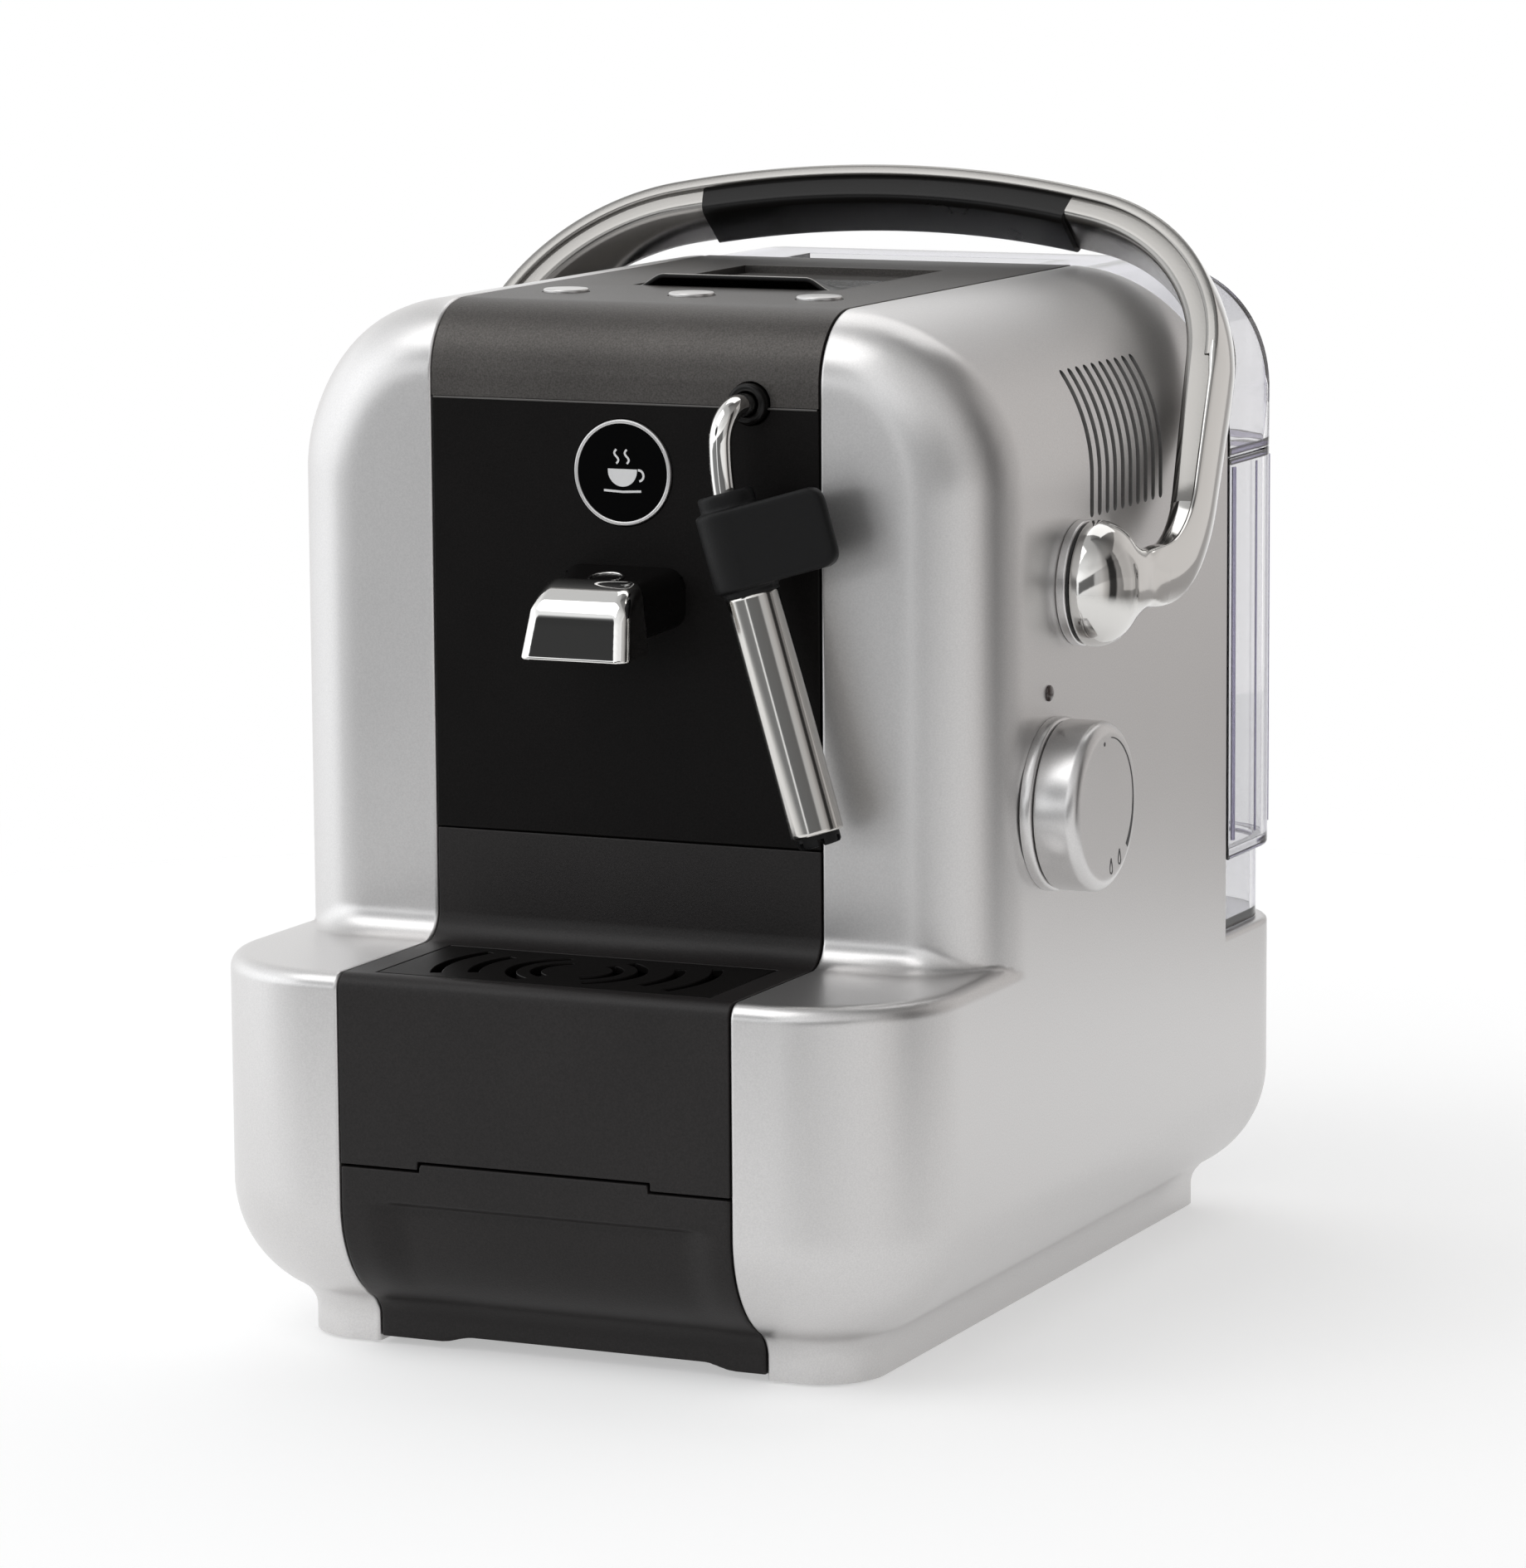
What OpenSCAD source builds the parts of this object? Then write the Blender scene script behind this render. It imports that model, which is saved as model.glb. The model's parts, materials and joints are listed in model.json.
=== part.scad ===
// Pod coffee machine with lift-over lever, steam wand, drip tray, capsule drawer and rear water tank.
// X runs to the right, Y to the rear, Z up. The origin is the middle of the footprint on the table.

/* [Body] */
// Overall width of the side shells
body_w = 192; // [184:1:204]
// Overall depth, from the drip tray's front to the tank's rear
body_d = 266; // [258:1:282]
// Height of the body's flat top
body_h = 254; // [248:1:264]
// Wall thickness of the shells and covers
wall = 3; // [2.5:0.25:3.5]
// Width of the black centre strip
strip_w = 104; // [100:1:110]
// How far the drip tray sticks out in front of the upper panel
ledge = 54; // [48:1:60]
// Height of the drip tray's top
ledge_h = 96; // [92:1:100]
// Height of the joint between drip tray and capsule drawer
drawer_h = 49; // [46:1:52]
// Height of the joint between drip tray back plate and front panel
plate_h = 124; // [120:1:125]
// Height of the top cover's front, from its joint with the front panel to the body's top
brow_drop = 23; // [20:1:28]
// Radius of the vertical front corners of the lower body
front_r = 36; // [32:1:40]
// Radius of the vertical rear corners
rear_r = 24; // [24:1:28]
// Radius of the shoulders along the top of the side shells
top_r = 44; // [34:1:46]
// Radius of the vertical corners beside the upper front panel
cheek_r = 22; // [16:1:26]
// Radius of the edge between upper front and top
brow_r = 18; // [14:1:20]
// Radius of the curve from the walls under to the foot
belly_r = 30; // [28:1:32]
// How far the foot is set in from the walls
foot_in = 20; // [17:0.5:20.5]
// Height of the shells' lower edge above the table
foot_gap = 0.8; // [0.5:0.1:1.2]
// Depth of the water tank behind the upper shell
tank_d = 50; // [46:1:54]
// Height of the ledge on which the tank stands
notch_h = 79.5; // [76:0.5:83]
// Gap between parts that only lie side by side
gap = 0.3; // [0.25:0.05:0.4]

/* [Side details] */
// Number of air slots in each side
slot_n = 10; // [6:1:11]
// Width of an air slot
slot_w = 2.4; // [1.8:0.1:2.6]
// Distance between air slots
slot_pitch = 5.2; // [4.8:0.1:5.4]
// Distance of the air slots' lower ends below the body's top
slot_drop = 54; // [50:1:58]
// Length of the air slots
slot_len = 36; // [30:1:38]
// Distance of the first air slot behind the front panel
slot_y = 66; // [62:1:70]
// Diameter of the pilot lamp
lamp_dia = 4; // [3:0.5:5]
// Height of the pilot lamp above the steam knob's axis
lamp_up = 27.4; // [26:0.1:31]

/* [Steam knob] */
// Diameter of the knob
knob_dia = 41.8; // [36:0.2:44]
// Length of the knob
knob_len = 11.3; // [9:0.1:12]
// Radius of the knob's outer edge
knob_edge = 3; // [1:0.5:4]
// Distance of the knob's axis behind the front panel
knob_y = 40; // [37:1:43]
// Distance of the knob's axis below the lever's axis
knob_drop = 52.3; // [50:0.1:54]
// Diameter of the knob's shaft
knob_pin = 6; // [5:0.5:7]
// Thickness of the ring under the knob
knob_ring = 2.9; // [2:0.1:3.5]

/* [Lever] */
// Distance of the lever's axis behind the front panel
pivot_y = 57; // [54:1:59]
// Distance of the lever's axis below the body's top
pivot_drop = 69.1; // [67:0.1:71]
// Diameter of the cross shaft
shaft_dia = 8; // [6:0.5:9]
// Radius of the domed hubs
hub_r = 15.5; // [14:0.5:17]
// Height of the domed hubs
hub_h = 12.2; // [10:0.2:13]
// Thickness of the boss between shell and hub
boss_t = 2.5; // [2:0.1:3]
// Thickness of the washer between boss and hub
washer_t = 0.5; // [0.4:0.1:0.8]
// Gap between arms and shells where the arms pass the shoulders
arm_gap = 3.1; // [1.5:0.1:4]
// Distance from the shaft to the lean line of the arms
lever_leg = 41.3; // [38:0.1:44]
// Angle by which the arms lean back from upright
lever_lean = 40; // [36:0.5:42]
// Angle by which each arm leans inward
lever_splay = 7.6; // [6:0.1:8]
// Length of the lever along its lean line
lever_rise = 111; // [108:0.5:118]
// Radius of the crossbar's curve
crown_r = 255; // [230:1:300]
// Radius of the corners between arms and crossbar
corner_r = 54; // [46:1:58]
// Radius of the bend behind the hub
bend_r = 44; // [36:1:48]
// Thickness of the lever's arms
bar_t = 10; // [8:0.1:10]
// Width of the lever's bar
bar_w = 18; // [15:0.1:19]
// Thickness of the band that runs over the grip
band_t = 4.3; // [3.6:0.1:5]
// Thickness of the black grip under the band
grip_t = 6.9; // [5:0.1:7.5]
// Half length of the black grip
grip_half = 51; // [40:1:53]

/* [Spout] */
// Half width of the spout's front
spout_half = 14; // [12:0.5:15]
// How far the spout sticks out from the panel
spout_out = 29.5; // [26:0.5:32]
// Height of the spout
spout_tall = 21; // [18:0.5:23]
// Height of the spout's root on the panel
spout_h = 13.5; // [12:0.5:15]
// Distance of the spout's top below the top cover's joint
spout_drop = 39.5; // [38:0.5:41]
// Thickness of the chrome cover's sheet
sheet = 1.6; // [1.2:0.1:2]

/* [Badge] */
// Diameter of the badge's ring
badge_dia = 26; // [22:0.5:30]
// Distance of the badge's middle below the top cover's joint
badge_drop = 17; // [15:1:20]
// Width of the badge's ring
badge_rim = 1.8; // [1.2:0.1:2.5]

/* [Steam wand] */
// Distance of the wand from the middle
wand_x = 34; // [32:0.5:36]
// Height of the wand's joint above the top cover's joint
wand_up = 1; // [-2:0.5:2]
// How far the wand stands in front of the panel
wand_out = 15; // [14:0.5:18]
// Diameter of the wand's tube
tube_dia = 5.6; // [4.5:0.1:6.5]
// Diameter of the black gland
gland_dia = 10.6; // [9.5:0.1:12]
// Length of the tube below the joint
tube_drop = 20; // [18:1:24]
// Angle by which the sleeve leans outward
wand_lean = 16.3; // [10:0.1:20]
// Diameter of the steel sleeve
sleeve_dia = 13; // [11:0.1:14]
// Length of the steel sleeve
sleeve_len = 61; // [52:1:62]
// Length of the rubber grip
wand_grip_len = 23.5; // [20:0.5:25]
// Diameter of the rubber grip
wand_grip_dia = 17; // [15:0.1:18]

/* [Top] */
// Diameter of the three buttons
button_dia = 11.4; // [9:0.1:13]
// Distance between the buttons
button_pitch = 34.5; // [30:0.5:36]
// Distance of the buttons behind the front panel
button_y = 40; // [38:1:42]
// Height of the buttons above the cover
button_up = 0.9; // [0.7:0.1:1.2]
// Travel of the buttons
button_travel = 0.7; // [0.4:0.1:0.8]
// Half width of the capsule hatch
hatch_half = 27.7; // [26:0.1:29]
// Length of the capsule hatch
hatch_len = 36; // [34:0.5:38]
// Distance of the hatch's lip behind the front panel
hatch_y = 65; // [64:0.5:66]
// Height of the hatch's finger lip
lip_h = 3; // [2.4:0.1:3.5]
// Travel of the hatch
hatch_travel = 32; // [24:1:34]

/* [Drip tray and drawer] */
// Length of the drip tray's basin
tray_len = 95; // [85:1:100]
// Length of the capsule drawer
drawer_len = 130; // [110:1:140]
// Thickness of the drip grid
grid_t = 2; // [1.6:0.1:2.4]
// Half width of the drip grid
grid_half = 44; // [40:0.5:46]
// Width of the slots in the drip grid
grid_slot = 2.6; // [2:0.1:3]

/* [Water tank] */
// Wall thickness of the tank and lid
tank_wall = 2.2; // [1.8:0.1:2.6]
// Distance of the joint between tank and lid below the body's top
rim_drop = 49; // [41:1:52]
// Height of the tank's narrower foot
tank_foot = 20; // [16:1:24]
// How far the tank's foot is set in
tank_in = 3; // [2:0.5:4]
// Height by which the lid lies below the body's top
lid_drop = 1.2; // [0.4:0.1:3]
// Half width of the finger pocket in the lid
pocket_half = 36; // [32:1:40]

/* [Hidden] */
$fn = 96;
eps = 0.01;
fit = 0.075;
half_w = body_w / 2;
front_y = -body_d / 2;
rear_y = body_d / 2;
panel_y = front_y + ledge;
tank_y = rear_y - tank_d;
brow_h = body_h - brow_drop;
badge_z = brow_h - badge_drop;
wand_z = brow_h + wand_up;
spout_top = brow_h - spout_drop;
spout_z = spout_top - spout_tall;
slot_z = body_h - slot_drop;
pivot_z = body_h - pivot_drop;
rim_z = body_h - rim_drop;
belly_z = foot_gap + sqrt(belly_r * belly_r - (belly_r - foot_in) * (belly_r - foot_in)) + 10.4;
strip_half = strip_w / 2 - gap / 2;
shell_x = strip_w / 2 + gap / 2;
base_z = 3;
base_t = 3;
base_top = base_z + base_t;
knob_z = pivot_z - knob_drop;
lamp_z = knob_z + lamp_up;
hose_dia = 6;
hose_room = 0.6;
deck_t = 3;
deck_z = knob_z - (hose_dia - 1) / 2 - hose_room - deck_t;
deck_top = deck_z + deck_t;
deck_left = 86;
deck_right = 60;
in_front = panel_y + wall;
in_rear = tank_y - wall;
in_top = body_h - wall;
black = [0.07, 0.07, 0.075];
silver = [0.76, 0.76, 0.77];
chrome = [0.85, 0.86, 0.88];
clear = [0.72, 0.75, 0.9, 0.4];

// ---------- shapes shared by several pieces ----------

// Cylinder along X, from x0 to x1
module rod_x(x0, x1, y, z, d) {
    translate([x0, y, z]) rotate([0, 90, 0]) cylinder(d = d, h = x1 - x0);
}

// Cylinder along Y, from y0 to y1
module rod_y(x, y0, y1, z, d) {
    translate([x, y0, z]) rotate([-90, 0, 0]) cylinder(d = d, h = y1 - y0);
}

// Box given by its limits
module box(x0, x1, y0, y1, z0, z1) {
    translate([x0, y0, z0]) cube([x1 - x0, y1 - y0, z1 - z0]);
}

// A drawing in (Y, Z), extruded along X from x0 to x1
module along_x(x0, x1) {
    translate([x0, 0, 0]) rotate([90, 0, 90]) linear_extrude(x1 - x0) children();
}

// Points along an arc
function arc(centre, r, a0, a1, n) =
    [for (i = [0 : n]) let(a = a0 + (a1 - a0) * i / n) centre + r * [cos(a), sin(a)]];

// Curved line of the belly, t inside the outer surface, from the wall down to the foot
function belly_line(t, n) = arc([belly_r, belly_z], belly_r - t, 180,
                                180 + acos((belly_r - foot_in - t) / (belly_r - t)), n);

// Wall section seen from the wall's outer line: x is the distance inward, y the height
module belly_section(t, reach, low) {
    translate([foot_in + t, low]) square([reach - foot_in - t, belly_z - low]);
    intersection() {
        translate([belly_r, belly_z]) circle(belly_r - t);
        translate([0, low]) square([min(reach, belly_r), belly_z - low]);
    }
}

// Right half of the plan outline, t inside the outer line, from x0 outward
module plan_half(t, x0) {
    translate([x0, front_y + front_r]) square([half_w - t - x0, body_d - front_r - rear_r]);
    translate([x0, front_y + t]) square([half_w - front_r - x0, front_r - t + eps]);
    translate([x0, rear_y - rear_r - eps]) square([half_w - rear_r - x0, rear_r - t + eps]);
    intersection() {
        translate([half_w - front_r, front_y + front_r]) circle(front_r - t);
        translate([half_w - front_r - eps, front_y]) square([front_r, front_r + eps]);
    }
    intersection() {
        translate([half_w - rear_r, rear_y - rear_r]) circle(rear_r - t);
        translate([half_w - rear_r - eps, rear_y - rear_r - eps]) square([rear_r, rear_r + eps]);
    }
}

// Right half of the lower body as a filled block, t inside the outer surface
module lower_block(t, x0, low) {
    translate([0, 0, belly_z]) linear_extrude(ledge_h - t - belly_z) plan_half(t, x0);
    translate([half_w, rear_y - rear_r, 0]) rotate([90, 0, 0])
        linear_extrude(body_d - front_r - rear_r)
            mirror([1, 0]) belly_section(t, half_w - x0, low);
    along_x(x0, half_w - front_r) translate([front_y, 0]) belly_section(t, front_r, low);
    along_x(x0, half_w - rear_r)
        translate([rear_y, 0]) mirror([1, 0]) belly_section(t, rear_r, low);
    translate([half_w - front_r, front_y + front_r, 0]) rotate([0, 0, -90])
        rotate_extrude(angle = 90) translate([front_r, 0]) mirror([1, 0])
            belly_section(t, front_r, low);
    translate([half_w - rear_r, rear_y - rear_r, 0])
        rotate_extrude(angle = 90) translate([rear_r, 0]) mirror([1, 0])
            belly_section(t, rear_r, low);
}

// Section of the upper body in (X, Z), right half
module shoulder_section(t, x0, z0) {
    translate([x0, z0]) square([half_w - t - x0, body_h - top_r - z0]);
    x1 = max(half_w - top_r, x0);
    if (x1 > x0) translate([x0, body_h - top_r - eps]) square([x1 - x0, top_r - t + eps]);
    intersection() {
        translate([half_w - top_r, body_h - top_r]) circle(top_r - t);
        translate([x1 - eps, body_h - top_r - eps]) square(top_r);
    }
}

// Upper body in (Y, Z): flat front with a round edge to the top
module brow_section(t, z0, y1) {
    translate([panel_y + t, z0]) square([y1 - panel_y - t, body_h - brow_r - z0]);
    translate([panel_y + brow_r, z0]) square([y1 - panel_y - brow_r, body_h - t - z0]);
    intersection() {
        translate([panel_y + brow_r, body_h - brow_r]) circle(brow_r - t);
        translate([panel_y, body_h - brow_r - eps]) square([brow_r + eps, brow_r + eps]);
    }
}

// Plan of the upper body's right half with its round front corner
module cheek_plan(t, x0, y1) {
    translate([x0, panel_y + cheek_r]) square([half_w - t - x0, y1 - panel_y - cheek_r]);
    translate([x0, panel_y + t]) square([half_w - cheek_r - x0, cheek_r - t + eps]);
    intersection() {
        translate([half_w - cheek_r, panel_y + cheek_r]) circle(cheek_r - t);
        translate([half_w - cheek_r - eps, panel_y]) square([cheek_r, cheek_r + eps]);
    }
}

// Right half of the upper body as a filled block
module upper_block(t, x0, z0) {
    y1 = tank_y - t;
    intersection() {
        translate([0, y1, 0]) rotate([90, 0, 0]) linear_extrude(y1 - panel_y)
            shoulder_section(t, x0, z0);
        along_x(x0 - 1, half_w + 1) brow_section(t, z0 - 1, y1 + 1);
        translate([0, 0, z0 - 1]) linear_extrude(body_h) cheek_plan(t, x0 - 1, y1 + 1);
    }
}

// Whole right half of the body, t inside the outer surface
module body_half(t, x0, low) {
    difference() {
        lower_block(t, x0, low);
        box(x0 - 1, half_w + 1, tank_y - t, rear_y + 1, notch_h - t, ledge_h + 1);
    }
    upper_block(t, x0, belly_z + 5);
}

// Tube through a list of points, with round elbows or elbow blocks at the bends
module hose(points, d, block = false) {
    for (i = [0 : len(points) - 2]) {
        v = points[i + 1] - points[i];
        turn = atan2(v.y, v.x);
        tilt = acos(v.z / norm(v));
        translate(points[i]) rotate([0, tilt, turn]) cylinder(d = d, h = norm(v));
        if (i > 0 && !block) translate(points[i]) sphere(d = d * 1.2);
        if (i > 0 && block) translate(points[i]) cube(d * 1.2, center = true);
    }
}

// ---------- base ----------

foot_half = half_w - foot_in - wall - gap;
foot_front = front_y + foot_in + wall + gap;
foot_rear = rear_y - foot_in - wall - gap;
foot_spot = [foot_half - 12, foot_rear - 14];

foot_r = front_r - foot_in - wall - gap;

// Right half of the base plate's outline, with its round front corner
function foot_edge() =
    concat(arc([foot_half - foot_r, foot_front + foot_r], foot_r, -90, 0, 16),
           [[foot_half, foot_rear]]);

module base_plate() {
    color(black) translate([0, 0, base_z]) linear_extrude(base_t)
        polygon(concat(foot_edge(), [for (i = [17 : -1 : 0]) [-foot_edge()[i].x, foot_edge()[i].y]]));
}

module rubber_feet() {
    color([0.05, 0.05, 0.05])
        for (sx = [-1, 1], y = [foot_front + 16, foot_spot.y])
            translate([sx * foot_spot.x, y, 0]) cylinder(d = 16, h = base_z);
}

module base_screws() {
    color(chrome)
        for (sx = [-1, 1], y = [foot_front + 40, foot_rear - 40])
            translate([sx * foot_spot.x, y, base_z - 1.6]) cylinder(d = 6, h = 1.6);
}

// ---------- side shells ----------

pivot = [half_w, panel_y + pivot_y, pivot_z];
knob_at = [half_w, panel_y + knob_y, knob_z];
lamp_y = panel_y + knob_y - 2.3;
seat_x = 70;
seat_z = notch_h + 12.5;
seat_dia = 16;

module air_slots() {
    for (i = [0 : slot_n - 1]) {
        y = panel_y + slot_y + i * slot_pitch;
        box(half_w - 20, half_w + 1, y - slot_w / 2, y + slot_w / 2, slot_z, slot_z + slot_len);
    }
}

// The right-hand shell before its own holes
module plain_shell() {
    difference() {
        body_half(0, shell_x, foot_gap);
        body_half(wall, shell_x - 1, foot_gap - 1);
        air_slots();
        rod_x(half_w - wall - 1, half_w + 1, pivot.y, pivot.z, shaft_dia + 2 * fit);
    }
}

module right_shell() {
    color(silver) difference() {
        plain_shell();
        rod_x(half_w - wall - 1, half_w + 1, knob_at.y, knob_at.z, knob_pin + 2 * fit);
        rod_x(half_w - wall - 1, half_w + 1, lamp_y, lamp_z, lamp_dia + 2 * fit);
        rod_y(seat_x, in_rear - 1, tank_y + 1, seat_z, seat_dia);
    }
}

board_x = -(half_w - wall - 4.4);
board = [pivot.y + 12, in_rear - 20, deck_top + 8, deck_top + 66];

module left_shell() {
    color(silver) {
        mirror([1, 0, 0]) plain_shell();
        for (y = [board[0] + 6, board[1] - 6], z = [board[2] + 6, board[3] - 6])
            rod_x(-(half_w - wall / 2), board_x, y, z, 5);
    }
}

// ---------- centre strip ----------

spout_mid = (spout_z + spout_top) / 2 + 4.5;
duct_dia = 7;

module front_panel() {
    color(black) difference() {
        box(-strip_half, strip_half, panel_y, in_front, plate_h + gap / 2, brow_h - gap / 2);
        rod_y(0, panel_y - 1, panel_y + 0.8, badge_z, badge_dia + gap);
        rod_y(wand_x, panel_y - 1, in_front + 1, wand_z, gland_dia);
        rod_y(0, panel_y - 1, in_front + 1, spout_mid, duct_dia);
    }
}

button_at = panel_y + button_y;
hatch_at = panel_y + hatch_y;
hatch_t = 1.4;
hatch_floor = 2;
well_half = 22.5;
well_y = [hatch_at + 4, hatch_at + 29];
button_well = 1.8;
stem_dia = 4;
post_x = 43.5;
switch_top = in_top - 5;

module top_cover() {
    color([0.1, 0.1, 0.105]) {
        difference() {
            along_x(-strip_half, strip_half) difference() {
                brow_section(0, brow_h + gap / 2, tank_y);
                brow_section(wall, brow_h - 1, tank_y + 1);
            }
            rod_y(wand_x, panel_y - 1, in_front + 1, wand_z, gland_dia);
            for (i = [-1 : 1]) translate([i * button_pitch, button_at, 0]) {
                translate([0, 0, body_h - button_well]) cylinder(d = button_dia + 2 * gap, h = 5);
                translate([0, 0, in_top - 1]) cylinder(d = stem_dia + 2 * gap, h = 5);
            }
            box(-hatch_half - gap, hatch_half + gap, hatch_at - gap,
                hatch_at + hatch_len + hatch_travel + gap, body_h - hatch_floor, body_h + 1);
            box(-well_half, well_half, well_y[0], well_y[1], in_top - 1, body_h);
        }
        for (sx = [-1, 1])
            translate([sx * post_x, button_at, switch_top + 1.6])
                cylinder(d = 5, h = in_top - switch_top - 1.6 + 0.5);
    }
}

pocket = [-40, 40, notch_h - 35, notch_h - 8];
pocket_deep = 4;
socket_at = [20, notch_h - 21.5];
socket_w = 27;
socket_h = 19.5;
switch_at = [-24, notch_h - 21.5];
switch_r = 8;
switch_half = 6;
rear_screw = [46.5, notch_h - 21.5];

// Rear of the centre strip in (Y, Z): curved lower wall, tank ledge and wall in front of the tank
module rear_section() {
    difference() {
        intersection() {
            union() {
                translate([rear_y, 0]) mirror([1, 0]) belly_section(0, tank_d + wall, foot_gap);
                translate([in_rear, belly_z]) square([tank_d + wall, notch_h - belly_z]);
            }
            translate([in_rear, 0]) square([tank_d + wall + 1, notch_h]);
        }
        translate([rear_y, 0]) mirror([1, 0]) belly_section(wall, tank_d + wall + 1, foot_gap - 1);
        translate([in_rear - 1, belly_z]) square([tank_d + 1, notch_h - wall - belly_z]);
    }
    translate([in_rear, notch_h - wall]) square([wall, in_top - gap - notch_h + wall]);
}

module rear_panel() {
    color(black) difference() {
        union() {
            along_x(-strip_half, strip_half) rear_section();
            box(pocket[0] - wall, pocket[1] + wall, rear_y - pocket_deep - wall, rear_y - wall / 2,
                pocket[2] - wall, pocket[3] + wall);
        }
        box(pocket[0], pocket[1], rear_y - pocket_deep, rear_y + 1, pocket[2], pocket[3]);
        box(socket_at.x - socket_w / 2, socket_at.x + socket_w / 2,
            rear_y - pocket_deep - wall - 1, rear_y,
            socket_at.y - socket_h / 2, socket_at.y + socket_h / 2);
        box(switch_at.x - switch_half - gap, switch_at.x + switch_half + gap,
            rear_y - pocket_deep - wall - 1, rear_y,
            switch_at.y - switch_r - gap, switch_at.y + switch_r + gap);
        for (sx = [-1, 1])
            rod_y(sx * rear_screw.x, rear_y - 1.5, rear_y + 1, rear_screw.y, 6.4);
    }
}

module rear_screws() {
    color(chrome)
        for (sx = [-1, 1])
            rod_y(sx * rear_screw.x, rear_y - 1.5, rear_y - 0.2, rear_screw.y, 6);
}

module inlet_socket() {
    y0 = rear_y - pocket_deep - 18;
    color([0.04, 0.04, 0.04]) difference() {
        box(socket_at.x - socket_w / 2 + gap / 2, socket_at.x + socket_w / 2 - gap / 2, y0,
            rear_y - pocket_deep + 1, socket_at.y - socket_h / 2 + gap / 2,
            socket_at.y + socket_h / 2 - gap / 2);
        box(socket_at.x - 11, socket_at.x + 11, y0 + 3, rear_y,
            socket_at.y - 7, socket_at.y + 7);
    }
}

module inlet_pins() {
    y0 = rear_y - pocket_deep - 15;
    color([0.8, 0.7, 0.4])
        for (i = [-1 : 1])
            box(socket_at.x + i * 7 - 1, socket_at.x + i * 7 + 1, y0, y0 + 12,
                socket_at.y - 2 + (i == 0 ? 1.5 : -1), socket_at.y + 2 + (i == 0 ? 1.5 : -1));
}

module power_switch() {
    y0 = rear_y - pocket_deep - 6;
    color([0.03, 0.03, 0.03])
        difference() {
            rod_x(switch_at.x - switch_half, switch_at.x + switch_half, y0, switch_at.y,
                  2 * switch_r);
            box(switch_at.x - 8, switch_at.x + 8, y0 - 12, y0 - 3,
                switch_at.y - 12, switch_at.y + 12);
        }
}

// ---------- frame and brewing parts inside ----------

guide_x = strip_half + 0.35;
guide_t = 3;
shelf_top = drawer_h;
frame_x = 31;
frame_t = 3;
chamber_z = pivot.z + 11;
chamber_y = [pivot.y, pivot.y + 62];
plunger_z = chamber_z + 32;
plunger_dia = 30;
capsule_floor = chamber_z + 16;

module chassis() {
    color([0.45, 0.46, 0.48]) difference() {
        union() {
            for (sx = [0, 1]) mirror([sx, 0, 0])
                box(guide_x, guide_x + guide_t, in_front + gap, in_rear - gap, base_top, deck_z + eps);
            box(-guide_x - 1, guide_x + 1, in_front + 10, in_rear - 40, shelf_top - 2, shelf_top);
            box(-deck_left, deck_right, in_front + gap, in_rear - gap, deck_z, deck_top);
        }
        box(-deck_left - 1, cheek_r - half_w, in_front, in_front + cheek_r / 3, deck_z - 1, deck_top + 1);
        box(-20, 20, tray_back + 3, bin_back - 2, shelf_top - 3, deck_top + 1);
    }
}

module brew_frame() {
    color([0.55, 0.56, 0.58])
        for (sx = [0, 1]) mirror([sx, 0, 0]) difference() {
            box(frame_x, frame_x + frame_t, pivot.y - 10, chamber_y[1], deck_top, in_top - gap);
            rod_x(frame_x - 1, frame_x + frame_t + 1, pivot.y, pivot.z, shaft_dia + 2 * fit);
        }
}

module brew_chamber() {
    color([0.3, 0.3, 0.32]) difference() {
        box(-frame_x, frame_x, chamber_y[0], chamber_y[1], chamber_z, in_top - gap);
        box(-well_half + 0.5, well_half - 0.5, well_y[0] + 0.5, well_y[1] - 0.5, capsule_floor,
            in_top + 1);
        rod_y(0, well_y[1] - 1, chamber_y[1] + 1, plunger_z, plunger_dia + 0.16);
    }
}

module plunger() {
    color([0.6, 0.55, 0.4]) rod_y(0, well_y[1] - 8, chamber_y[1] + 6, plunger_z, plunger_dia);
}

duct_top = chamber_z + 9;

module coffee_duct() {
    color([0.85, 0.85, 0.82])
        hose([[0, chamber_y[0], duct_top], [0, in_front + 14, duct_top],
              [0, in_front + 14, spout_mid], [0, panel_y, spout_mid]], duct_dia - 0.2);
}

boiler_dia = 50;
shaft_room = 7;
boiler_at = [-61, pivot.y + shaft_dia / 2 + shaft_room + boiler_dia / 2];
boiler_top = deck_top + 64;

module boiler() {
    color([0.72, 0.66, 0.5]) {
        translate([boiler_at.x, boiler_at.y, deck_top]) cylinder(d = boiler_dia, h = 60);
        translate([boiler_at.x, boiler_at.y, deck_top + 60 - eps]) cylinder(d = 36, h = 4 + eps);
    }
}

pump_at = [36, 80, pivot.y + 22, in_rear - 10];
pump_out = [pump_at[0] + 22, pump_at[2] + 30];
mount_h = 4.5;
pump_z = deck_top + mount_h;
pump_top = pump_z + 42;

module pump() {
    color([0.2, 0.2, 0.22]) {
        box(pump_at[0], pump_at[1], pump_at[2], pump_at[3], pump_z, pump_z + 34);
        translate([pump_out.x, pump_out.y, pump_z + 34 - eps]) cylinder(d = 24, h = 8 + eps);
    }
}

module pump_mounts() {
    color([0.05, 0.05, 0.05])
        for (y = [pump_at[2] + 10, pump_at[3] - 12])
            translate([pump_at[0] + 12, y, deck_top]) cylinder(d = 14, h = mount_h);
}

back_y = in_rear - 14;

module water_hose() {
    color([0.9, 0.9, 0.92])
        hose([[seat_x, in_rear - 4, seat_z], [seat_x, back_y, seat_z],
              [seat_x, back_y, pump_z]], hose_dia);
}

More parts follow.
